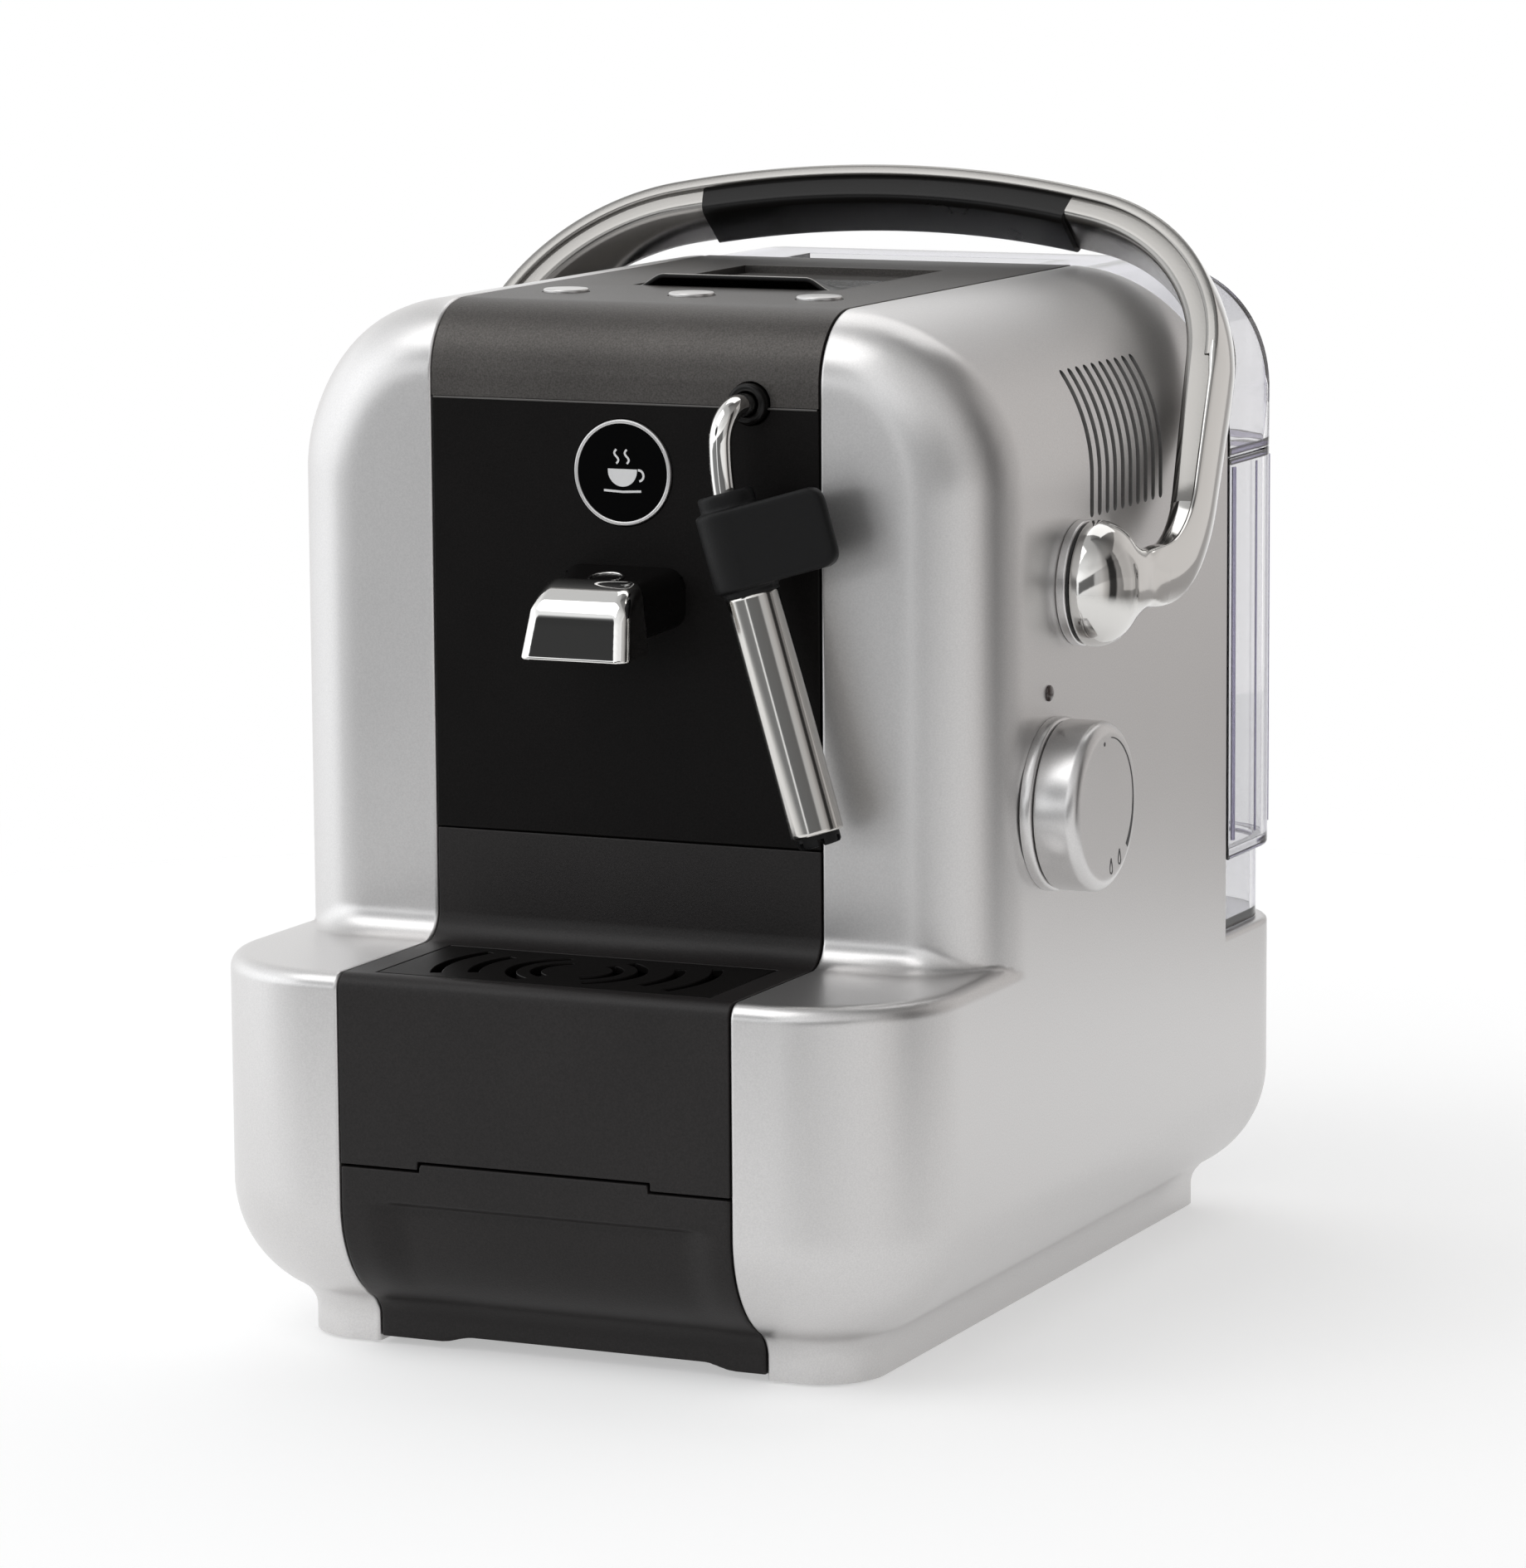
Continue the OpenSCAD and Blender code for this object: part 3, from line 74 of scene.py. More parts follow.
def node(nt, kind, values=(), **props):
    """New shader node of a tree, with its properties and then its input values set."""
    made = nt.nodes.new("ShaderNode" + kind)
    for k, v in props.items():
        setattr(made, k, v)
    for k, v in dict(values).items():
        made.inputs[k].default_value = v
    return made


def new_mat(name, **values):
    """New material: (material, tree, its Principled node), with input values set."""
    mt = bpy.data.materials.new(name)
    mt.use_nodes = True
    p = mt.node_tree.nodes["Principled BSDF"]
    for k, v in values.items():
        p.inputs[k.replace("_", " ")].default_value = v
    return mt, mt.node_tree, p


def finish(name, base, rough, metal=0.0, vary=0.04, scale=30.0, rough_vary=0.05, bump=0.0,
           bump_scale=900.0, coat=0.0, spec=0.5, stretch=None, speckle=0.0, speckle_scale=2500.0):
    """Principled material: noise in colour and roughness, fine bump, optional stretched grain."""
    mt, nt, p = new_mat(name, Metallic=metal, Specular_IOR_Level=spec, Coat_Weight=coat,
                        Coat_Roughness=0.1)
    L = nt.links.new
    tc = node(nt, "TexCoord")
    src = tc.outputs["Object"]
    if stretch:
        mp = node(nt, "Mapping", {"Scale": stretch})
        L(src, mp.inputs["Vector"])
        src = mp.outputs["Vector"]
    no = node(nt, "TexNoise", {"Scale": scale, "Detail": 5.0})
    L(src, no.inputs["Vector"])
    ramp = node(nt, "ValToRGB")
    for e, at, part in zip(ramp.color_ramp.elements, (0.3, 0.7), (1 - vary, 1 + vary)):
        e.position = at
        e.color = (*(min(1.0, max(0.0, c * part)) for c in base), 1)
    L(no.outputs["Fac"], ramp.inputs["Fac"])
    col = ramp.outputs["Color"]
    if speckle:
        n2 = node(nt, "TexNoise", {"Scale": speckle_scale, "Detail": 2.0})
        L(tc.outputs["Object"], n2.inputs["Vector"])
        r3 = node(nt, "MapRange", {"From Min": 0.3, "From Max": 0.7, "To Min": 1 - speckle,
                                   "To Max": 1 + speckle})
        L(n2.outputs["Fac"], r3.inputs["Value"])
        mx = node(nt, "Mix", {0: 1.0}, data_type="RGBA", blend_type="MULTIPLY")
        L(col, mx.inputs[6])
        L(r3.outputs["Result"], mx.inputs[7])
        col = mx.outputs[2]
    L(col, p.inputs["Base Color"])
    mr = node(nt, "MapRange", {"To Min": max(0.0, rough - rough_vary),
                               "To Max": min(1.0, rough + rough_vary)})
    L(no.outputs["Fac"], mr.inputs["Value"])
    L(mr.outputs["Result"], p.inputs["Roughness"])
    if bump:
        nb = node(nt, "TexNoise", {"Scale": bump_scale, "Detail": 3.0})
        L(src, nb.inputs["Vector"])
        bp = node(nt, "Bump", {"Strength": bump, "Distance": 0.0002})
        L(nb.outputs["Fac"], bp.inputs["Height"])
        L(bp.outputs["Normal"], p.inputs["Normal"])
    M[name] = mt


def clear_plastic(name, body, edge):
    """Clear material that darkens towards the edge colour where it is seen at a slant."""
    mt, nt, p = new_mat(name, Transmission_Weight=1.0, IOR=1.46)
    L = nt.links.new
    lw = node(nt, "LayerWeight", {"Blend": 0.45})
    ramp = node(nt, "ValToRGB")
    e = ramp.color_ramp.elements
    e[0].position, e[0].color = 0.62, (*body, 1)
    e[1].position, e[1].color = 0.99, (*edge, 1)
    L(lw.outputs["Facing"], ramp.inputs["Fac"])
    L(ramp.outputs["Color"], p.inputs["Base Color"])
    no = node(nt, "TexNoise", {"Scale": 60})
    L(node(nt, "TexCoord").outputs["Object"], no.inputs["Vector"])
    mr = node(nt, "MapRange", {"To Min": 0.0, "To Max": 0.05})
    L(no.outputs["Fac"], mr.inputs["Value"])
    L(mr.outputs["Result"], p.inputs["Roughness"])
    M[name] = mt


finish("silver_shell", (0.66, 0.65, 0.645), 0.34, metal=0.92, vary=0.012, scale=14, rough_vary=0.03,
       bump=0.05, bump_scale=2600, speckle=0.05)
finish("black_panel", (0.0046, 0.004, 0.0038), 0.42, vary=0.12, scale=40, bump=0.2, bump_scale=1900,
       speckle=0.3, speckle_scale=2200, spec=0.1)
finish("tray_black", (0.015, 0.0132, 0.013), 0.44, vary=0.1, scale=40, bump=0.2, bump_scale=1900,
       speckle=0.25, speckle_scale=2200, spec=0.26)
finish("black_gloss", (0.004, 0.0036, 0.0035), 0.28, vary=0.1, scale=25, bump=0.06, bump_scale=1700,
       spec=0.22)
finish("cover_black", (0.082, 0.077, 0.073), 0.44, metal=0.85, vary=0.1, scale=30, bump=0.2,
       bump_scale=1900, speckle=0.22, speckle_scale=2300, spec=0.3)
# grey of the thin rod on the panel's upper edge, much lighter than the black panel: a painted highlight
# line along the seam
finish("edge_highlight_grey", (0.1, 0.096, 0.092), 0.4, vary=0.05, scale=60, spec=0.3)
finish("button_grey", (0.62, 0.61, 0.6), 0.3, metal=0.9, vary=0.04, scale=200, bump=0.05,
       bump_scale=1500, spec=0.4)
finish("badge_black", (0.0012, 0.0012, 0.0013), 0.2, vary=0.1, scale=25, spec=0.06)
finish("mark_white", (0.72, 0.72, 0.72), 0.4, vary=0.03, scale=200, spec=0.2)
finish("black_inner", (0.02, 0.02, 0.021), 0.5, vary=0.15, bump=0.2)
finish("chrome", (0.80, 0.79, 0.77), 0.045, metal=1.0, vary=0.01, scale=9, rough_vary=0.012)
finish("soft_chrome", (0.70, 0.69, 0.67), 0.09, metal=1.0, vary=0.01, scale=9, rough_vary=0.015)
finish("satin_metal", (0.66, 0.65, 0.645), 0.3, metal=0.92, vary=0.02, scale=20, bump=0.05,
       bump_scale=2600, speckle=0.04)
finish("polished_steel", (0.66, 0.645, 0.62), 0.12, metal=1.0, vary=0.03, scale=30, rough_vary=0.04,
       stretch=(1, 1, 0.05), bump=0.02)
finish("frame_steel", (0.5, 0.5, 0.51), 0.35, metal=1.0, vary=0.05, scale=60, stretch=(1, 1, 0.1),
       bump=0.05)
finish("brass", (0.65, 0.48, 0.2), 0.25, metal=1.0, vary=0.05, scale=40, bump=0.04)
finish("boiler_metal", (0.5, 0.5, 0.5), 0.45, metal=0.9, vary=0.06, bump=0.3, bump_scale=500)
finish("grip_rubber", (0.0055, 0.0055, 0.0058), 0.5, vary=0.12, bump=0.25, bump_scale=1600, spec=0.18)
finish("foot_rubber", (0.02, 0.02, 0.02), 0.75, vary=0.15, bump=0.4, bump_scale=900)
finish("hose", (0.62, 0.63, 0.65), 0.35, vary=0.03, bump=0.05)
finish("board", (0.02, 0.13, 0.05), 0.4, vary=0.25, scale=250, bump=0.1)
finish("lamp", (0.035, 0.02, 0.018), 0.15, vary=0.2, scale=300, coat=0.5)
finish("valve_plastic", (0.7, 0.7, 0.72), 0.4, vary=0.03, bump=0.05)
clear_plastic("clear_tank", (0.82, 0.82, 0.835), (0.24, 0.22, 0.4))
clear_plastic("clear_edge", (0.36, 0.34, 0.45), (0.14, 0.12, 0.27))
finish("print", (0.05, 0.05, 0.052), 0.5, vary=0.1, scale=200)
finish("trim", (0.29, 0.282, 0.27), 0.2, metal=1.0, vary=0.03, scale=60, bump=0.03, bump_scale=1500)

# ---------- mesh tools


def put(name, verts, faces, mat, body, replaces=(), smooth=True, sharp=None):
    """Makes a visible piece from points in mm: its material, body and the nodes it stands for."""
    me = bpy.data.meshes.new(name)
    v = np.asarray(verts, float) * MM
    me.from_pydata([tuple(p) for p in v], [], [tuple(int(i) for i in f) for f in faces])
    me.validate()
    bm = bmesh.new()
    bm.from_mesh(me)
    bmesh.ops.recalc_face_normals(bm, faces=bm.faces)
    bm.to_mesh(me)
    bm.free()
    ob = bpy.data.objects.new(name, me)
    bpy.context.scene.collection.objects.link(ob)
    return dress_up(ob, mat, body, replaces, smooth, sharp)


def dress_up(ob, mat, body, replaces=(), smooth=True, sharp=None):
    me = ob.data
    me.materials.clear()
    me.materials.append(M[mat])
    if smooth:
        me.polygons.foreach_set("use_smooth", [True] * len(me.polygons))
        if sharp:
            me.set_sharp_from_angle(angle=math.radians(sharp))
    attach(ob, body)
    if replaces:
        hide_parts(*replaces)
    return ob


def applied(ob):
    """The object's mesh with its modifiers applied; the modifiers go."""
    dg = bpy.context.evaluated_depsgraph_get()
    dg.update()
    me = bpy.data.meshes.new_from_object(ob.evaluated_get(dg))
    old = ob.data
    ob.modifiers.clear()
    ob.data = me
    bpy.data.meshes.remove(old)


def thicken(ob, wall):
    """Gives a skin a wall, inward from its outside."""
    s = ob.modifiers.new("wall", "SOLIDIFY")
    s.thickness = wall * MM
    s.offset = -1
    applied(ob)


def soften(ob, width, seg=3, angle=32):
    """Rounds the object's edges with a bevel, and weights its normals."""
    b = ob.modifiers.new("bevel", "BEVEL")
    b.width = width * MM
    b.segments = seg
    b.limit_method = "ANGLE"
    b.angle_limit = math.radians(angle)
    b.harden_normals = False
    b.use_clamp_overlap = True
    applied(ob)
    ob.data.polygons.foreach_set("use_smooth", [True] * len(ob.data.polygons))
    ob.data.set_sharp_from_angle(angle=math.radians(50))
    w = ob.modifiers.new("weights", "WEIGHTED_NORMAL")
    w.keep_sharp = True


def dressed(part, width, mat=None):
    """A copy of a CAD node's mesh with its edges rounded, standing for that node."""
    me = bpy.data.meshes.new(part + "_shape")
    bm = bmesh.new()
    bm.from_mesh(frame["nodes"][part].data)
    bmesh.ops.remove_doubles(bm, verts=bm.verts, dist=2e-6)
    bmesh.ops.dissolve_limit(bm, angle_limit=math.radians(0.4), verts=bm.verts, edges=bm.edges)
    bm.to_mesh(me)
    bm.free()
    ob = bpy.data.objects.new(part + "_piece", me)
    bpy.context.scene.collection.objects.link(ob)
    soften(ob, width)
    dress_up(ob, mat or SLOT[part], NODE_BODY[part], (part,), sharp=50)


def iround(a, b, r):
    """Where both fields hold, with the edge between them rounded."""
    return np.minimum(-r, np.maximum(a, b)) + np.hypot(np.maximum(r + a, 0), np.maximum(r + b, 0))


def uround(a, b, r):
    """Where either field holds, with the hollow between them rounded."""
    return np.maximum(r, np.minimum(a, b)) - np.hypot(np.maximum(r - a, 0), np.maximum(r - b, 0))


def rounded(a, b, r):
    """Distance to the rounded corner of two half planes whose arc starts at a = b = 0."""
    return np.hypot(np.maximum(a, 0), np.maximum(b, 0)) + np.minimum(np.maximum(a, b), 0) - r


def sstep(a, b, x):
    """Smooth rise from 0 at a to 1 at b."""
    t = np.clip((x - a) / (b - a), 0, 1)
    return t * t * (3 - 2 * t)


def rbox(x, y, z, c, h, r):
    """Rounded box: centre c, half sizes h, edge radius r."""
    qx, qy, qz = abs(x - c[0]) - h[0] + r, abs(y - c[1]) - h[1] + r, abs(z - c[2]) - h[2] + r
    out = np.sqrt(np.maximum(qx, 0) ** 2 + np.maximum(qy, 0) ** 2 + np.maximum(qz, 0) ** 2)
    return out + np.minimum(np.maximum(np.maximum(qx, qy), qz), 0) - r


def lines(*spans):
    """Grid lines: (start, end, step) spans joined end to end."""
    out = [spans[0][0]]
    for a, b, s in spans:
        n = max(1, int(round((b - a) / s)))
        out += [a + (b - a) * (i + 1) / n for i in range(n)]
    return np.array(out)


def nets(f, xs, ys, zs, clamp=()):
    """Smooth skin of f < 0 on a grid of lines: (points, quads). clamp pins border cells to planes."""
    ax = [xs, ys, zs]
    X, Y, Z = np.meshgrid(xs, ys, zs, indexing="ij")
    V = f(X, Y, Z)
    S = V < 0
    shape = np.array(V.shape) - 1
    size = int(shape.prod())
    acc = np.zeros((size, 3))
    cnt = np.zeros(size)
    quads = []
    for a in range(3):
        b, c = (a + 1) % 3, (a + 2) % 3
        lo = [slice(None)] * 3
        hi = [slice(None)] * 3
        lo[a], hi[a] = slice(0, -1), slice(1, None)
        lo, hi = tuple(lo), tuple(hi)
        idx = np.argwhere(S[lo] != S[hi])
        if not len(idx):
            continue
        up1 = idx.copy()
        up1[:, a] += 1
        v0, v1 = V[tuple(idx.T)], V[tuple(up1.T)]
        t = v0 / (v0 - v1)
        P = np.stack([ax[d][idx[:, d]] for d in range(3)], -1).astype(float)
        P[:, a] += t * (ax[a][up1[:, a]] - ax[a][idx[:, a]])
        cells, ok = [], np.ones(len(idx), bool)
        for db, dc in ((0, 0), (1, 0), (1, 1), (0, 1)):
            cell = idx.copy()
            cell[:, b] -= db
            cell[:, c] -= dc
            good = ((cell >= 0) & (cell < shape)).all(1)
            flat = np.ravel_multi_index(np.clip(cell, 0, shape - 1).T, shape)
            for d in range(3):
                acc[:, d] += np.bincount(flat[good], P[good, d], size)
            cnt += np.bincount(flat[good], None, size)
            cells.append(flat)
            ok &= good
        q = np.stack(cells, -1)[ok]
        inside = S[tuple(idx.T)][ok]
        q[~inside] = q[~inside][:, ::-1]
        quads.append(q)
    quads = np.concatenate(quads)
    used = np.unique(quads)
    remap = -np.ones(size, int)
    remap[used] = np.arange(len(used))
    P = acc[used] / cnt[used][:, None]
    cell = np.array(np.unravel_index(used, shape)).T
    free = np.ones_like(P)
    for a, side in clamp:
        at = cell[:, a] == (0 if side == 0 else shape[a] - 1)
        P[at, a] = ax[a][0 if side == 0 else -1]
        free[at, a] = 0
    h = 0.02
    for _ in range(5):
        v = f(P[:, 0], P[:, 1], P[:, 2])
        g = np.zeros_like(P)
        for d in range(3):
            e = np.zeros(3)
            e[d] = h
            A, B = P + e, P - e
            g[:, d] = (f(A[:, 0], A[:, 1], A[:, 2]) - f(B[:, 0], B[:, 1], B[:, 2])) / (2 * h)
        g *= free
        gg = np.maximum((g * g).sum(1), 0.05)
        step = -(v / gg)[:, None] * g
        n = np.linalg.norm(step, axis=1, keepdims=True)
        P += step * np.minimum(1, 1.5 / np.maximum(n, 1e-9))
    return P, remap[quads]


def lathe(profile, n=96, axis="z", at=(0, 0, 0), closed=False):
    """Points and quads of a profile [(r, h)...] turned about an axis through at."""
    pts, faces = [], []
    m_ = len(profile)
    for i in range(n):
        a = 2 * math.pi * i / n
        for r, h in profile:
            c, s = r * math.cos(a), r * math.sin(a)
            p = {"z": (c, s, h), "x": (h, c, s), "y": (c, h, s)}[axis]
            pts.append([p[k] + at[k] for k in range(3)])
    for i in range(n):
        j = (i + 1) % n
        for k in range(m_ - 1):
            faces.append((i * m_ + k, j * m_ + k, j * m_ + k + 1, i * m_ + k + 1))
        if closed:
            faces.append((i * m_ + m_ - 1, j * m_ + m_ - 1, j * m_, i * m_))
    return pts, faces


def weld(ob):
    """Joins the points that coincide, such as those on a lathe's axis."""
    bm = bmesh.new()
    bm.from_mesh(ob.data)
    bmesh.ops.remove_doubles(bm, verts=bm.verts, dist=1e-6)
    bmesh.ops.recalc_face_normals(bm, faces=bm.faces)
    bm.to_mesh(ob.data)
    bm.free()


def rod(r, n=12):
    """Round outline of a bar."""
    return [(r * math.cos(a), r * math.sin(a)) for a in np.linspace(0, 2 * math.pi, n + 1)[:-1]]


def sweep(stations, outline):
    """Skin over a list of (centre, out, across) with outline(i) -> [(u, v)...]; ends capped."""
    pts, faces = [], []
    for i, (c, o, a) in enumerate(stations):
        ring = outline(i)
        n = len(ring)
        for u, v in ring:
            pts.append([c[k] + u * o[k] + v * a[k] for k in range(3)])
    m_ = len(stations)
    for i in range(m_ - 1):
        for k in range(n):
            l = (k + 1) % n
            faces.append((i * n + k, i * n + l, (i + 1) * n + l, (i + 1) * n + k))
    faces.append(tuple(range(n)))
    faces.append(tuple(reversed(range((m_ - 1) * n, m_ * n))))
    return pts, faces


def carve(ob, cutter):
    """Cuts the cutter out of the object and removes the cutter."""
    b = ob.modifiers.new("cut", "BOOLEAN")
    b.operation = "DIFFERENCE"
    b.solver = "EXACT"
    b.object = cutter
    applied(ob)
    bpy.data.objects.remove(cutter)


def raw(name, verts, faces):
    """Bare object from points in mm, not yet a visible piece."""
    me = bpy.data.meshes.new(name)
    me.from_pydata([tuple(Vector(p) * MM) for p in verts], [],
                   [tuple(int(i) for i in f) for f in faces])
    bm = bmesh.new()
    bm.from_mesh(me)
    bmesh.ops.recalc_face_normals(bm, faces=bm.faces)
    bm.to_mesh(me)
    bm.free()
    ob = bpy.data.objects.new(name, me)
    bpy.context.scene.collection.objects.link(ob)
    return ob


# ---------- main sizes, mm

HALF_W, FRONT, REAR, TOP = 96.0, -133.0, 133.0, 254.0
PANEL, TANK_Y, SHELF, NOTCH = -79.0, 83.0, 96.0, 79.5
SEAM = 52.15
FRONT_R, REAR_R, TOP_R = 36.0, 24.0, 44.0
BELLY_R, BELLY_Z = 30.0, 39.48
FOOT_IN, FOOT_TOP = 20.0, 25.0
SHELL_WALL = 2.6
SLOT_N, SLOT_Y, SLOT_PITCH, SLOT_R = 10, PANEL + 66.0, 5.2, 1.25
SLOT_LOW, SLOT_HIGH = 201.2, 234.8
PIVOT = (PANEL + 57.0, 184.9)
KNOB = (PANEL + 40.0, 132.6)

# ---------- side shells


def body_field(x, y, z):
    """The right half of the body: low base with its belly and foot, and the tall block on it."""
    a = x - HALF_W
    p = iround(iround(a, FRONT - y, FRONT_R), y - REAR, REAR_R)
    belly = rounded(p + BELLY_R, BELLY_Z - z, BELLY_R)
    low = uround(belly, np.maximum(p + FOOT_IN, z - FOOT_TOP), 4.5)
    front = y < 0
    low = iround(low, z - np.where(front, SHELF, NOTCH), np.where(front, 4.0, 1.2))
    side_top = iround(a, z - TOP, TOP_R)
    r = 18.0 + 5.0 * sstep(-25, 25, a - (z - TOP))
    high = iround(side_top, PANEL - y, r)
    high = iround(high, y - TANK_Y, 1.2)
    high = np.maximum(high, 62.0 - z)
    join = np.where(front, 7.0, 1.0) * (1 - sstep(78, 94.5, x)) + 0.01
    return uround(low, high, join)


def shell_field(x, y, z):
    """The right cheek: the body outside the seam with the black strip."""
    return iround(body_field(x, y, z), SEAM - x, 1.0)


coarse = 2.2
xs = lines((SEAM, 53.4, 0.2), (53.4, 55.5, 0.5), (55.5, 93, coarse), (93, 97.8, 1.2))
ys = lines((-134.5, -127, 1.0), (-127, -88, coarse), (-88, -76, 1.0), (-76, 80, coarse),
           (80, 86, 0.5), (86, 127, coarse), (127, 134.6, 1.1))
zs = lines((0.8, 8, 1.8), (8, 15, 0.8), (15, 76, coarse), (76, 81.5, 0.5), (81.5, 90, coarse),
           (90, 97.6, 0.6), (97.6, 105, 1.0), (105, 250, coarse), (250, 255.6, 1.0))
P, Q = nets(shell_field, xs, ys, zs, clamp=((0, 0), (2, 0)))


def slot_cutter(sx):
    """Cutter for the upright vent slots of one cheek."""
    pts, faces = [], []
    for i in range(SLOT_N):
        y0 = SLOT_Y + SLOT_PITCH * i
        ring = []
        for z0, start in ((SLOT_HIGH, 0.0), (SLOT_LOW, math.pi)):
            for k in range(9):
                t = start + math.pi * k / 8
                ring.append((y0 + SLOT_R * math.cos(t), z0 + SLOT_R * math.sin(t)))
        n, o = len(ring), len(pts)
        for x in (74.0, 99.0):
            pts += [[sx * x, a, b] for a, b in ring]
        for k in range(n):
            l = (k + 1) % n
            faces.append((o + k, o + l, o + n + l, o + n + k))
        faces.append(tuple(range(o, o + n)))
        faces.append(tuple(reversed(range(o + n, o + 2 * n))))
    return raw("cutter", pts, faces)


for side, sx in (("right", 1), ("left", -1)):
    ob = raw(side + "_shell_skin", P * np.array([sx, 1, 1]), Q if sx > 0 else Q[:, ::-1])
    thicken(ob, SHELL_WALL)
    carve(ob, slot_cutter(sx))
    dress_up(ob, "silver_shell", "body", (side + "_shell",), sharp=60)

# ---------- lever

LEAN, SPLAY = math.radians(40), math.radians(7.6)
LEG_X, LEG_Y, RISE, CROWN_R, CORNER_R, BEND_R = 108.54, 41.3, 111.0, 255.0, 54.0, 44.0
lean = np.array([0, math.sin(LEAN), math.cos(LEAN)])
ex = np.array([1.0, 0, 0])
arm = math.cos(SPLAY) * lean - math.sin(SPLAY) * ex
origin = np.array([0, PIVOT[0] + LEG_Y, PIVOT[1]])
crown_s = RISE - CROWN_R
base = np.array([LEG_X - CORNER_R * math.cos(SPLAY), -CORNER_R * math.sin(SPLAY) - crown_s])
ln = np.array([-math.sin(SPLAY), math.cos(SPLAY)])
hb = base @ ln
t_arm = -hb + math.sqrt(hb * hb - base @ base + (CROWN_R - CORNER_R) ** 2)
mid = base + t_arm * ln + np.array([0, crown_s])
crown_a = math.atan2(mid[1] - crown_s, mid[0])
turn = math.acos(arm[1])
bend_len = BEND_R * math.tan(turn / 2)


def unit(v):
    """The vector at length 1."""
    return v / np.linalg.norm(v)


def arch(x, s):
    """Point in the arch's leaning plane: x across, s up along the lean."""
    return origin + x * ex + s * lean


def turned(a):
    """Direction along the arch and outward from it, at an angle of its plane."""
    c, sn = math.cos(a), math.sin(a)
    return -sn * ex + c * lean, c * ex + sn * lean


def half_path():
    """Stations of the right half from the hub to the middle: (centre, direction, out, share)."""
    out = []
    y0, y1 = PIVOT[0], origin[1] - bend_len
    for t, sh in ((0, -1.1), (0.25, -0.6), (0.5, -0.2), (0.75, -0.05), (1, 0)):
        out.append((np.array([LEG_X, y0 + (y1 - y0) * t, PIVOT[1]]), np.array([0, 1.0, 0]), ex, sh))
    start = np.array([LEG_X, y1, PIVOT[1]])
    side = unit(arm - arm[1] * np.array([0, 1.0, 0]))
    for i in range(1, 15):
        a = turn * i / 14
        d = math.cos(a) * np.array([0, 1.0, 0]) + math.sin(a) * side
        c = start + BEND_R * (math.sin(a) * np.array([0, 1.0, 0]) + (1 - math.cos(a)) * side)
        out.append((c, d, unit(ex - d[0] * d), 0.5 * i / 14))
    c_end = arch(*(mid + CORNER_R * np.array([math.cos(SPLAY), math.sin(SPLAY)])))
    c0 = out[-1][0]
    for i in range(1, 6):
        t = i / 6
        out.append((c0 * (1 - t) + c_end * t, arm, unit(ex - arm[0] * arm), 0.5 + 0.5 * t))
    for i in range(0, 25):
        a = SPLAY + (crown_a - SPLAY) * i / 24
        at = arch(*(mid + CORNER_R * np.array([math.cos(a), math.sin(a)])))
        out.append((at, *turned(a), 1))
    for i in range(1, 17):
        a = crown_a + (math.pi / 2 - crown_a) * i / 16
        at = arch(CROWN_R * math.cos(a), crown_s + CROWN_R * math.sin(a))
        out.append((at, *turned(a), 1))
    return out


half = half_path()
path = []
for c, d, o, sh in half:
    path.append((c, o, np.cross(d, o), sh))
for c, d, o, sh in reversed(half[:-1]):
    f = np.array([-1.0, 1, 1])
    path.append((c * f, o * f, np.cross(-d * f, o * f), sh))
N_PATH = len(path)


def band_ring(t, w):
    """Crowned strip with half-round edges: highest point at t, width w."""
    hw, crown = w / 2, 1.0
    r = (0.85 + 0.45 * sstep(4.95, 5.0, t)) * t / 5.0
    ve = hw - r
    tilt = math.atan(2 * crown / ve)
    ring = [(t - crown * (v / ve) ** 2, v) for v in np.linspace(-ve, ve, 17)]
    cu, cv = t - crown - r * math.cos(tilt), ve - r * math.sin(tilt)
    edge = [(cu + r * math.cos(a), cv + r * math.sin(a)) for a in np.linspace(tilt, math.pi, 9)[1:]]
    ring += edge
    ring += [(cu - r, v) for v in (cv * 0.5, 0.0, -cv * 0.5)]
    ring += [(u, -v) for u, v in reversed(edge)]
    return ring


def inner_ring(top, low, w, r=2.2):
    """Outline of a bar under the band: flat top, round lower edges."""
    ring = []
    hw = w / 2
    for cu, cv, a0 in ((low + r, hw - r, 90), (low + r, -hw + r, 180)):
        for k in range(7):
            a = math.radians(a0 + 15 * k)
            ring.append((cu + r * math.cos(a), cv + r * math.sin(a)))
    ring.append((top, -hw + 0.3))
    for k in range(1, 4):
        ring.append((top, -hw + 0.3 + (w - 0.6) * k / 4))
    ring.append((top, hw - 0.3))
    return ring


def t_at(sh):
    """Half thickness of the band by its share of the full section."""
    return 5.0 * (0.75 + 0.25 * sh)


def w_at(sh):
    """Width of the band by its share of the full section."""
    return 18.0 * (0.85 + 0.15 * sh)


ALL = [(c, o, a) for c, o, a, sh in path]
REST = [i for i in range(N_PATH) if 4 <= i < N_PATH - 4]
pts, faces = sweep([ALL[i] for i in REST],
                   lambda i: band_ring(t_at(path[REST[i]][3]), w_at(path[REST[i]][3])))
put("lever_band", pts, faces, "soft_chrome", "lever", ("lever_bail",), sharp=80)


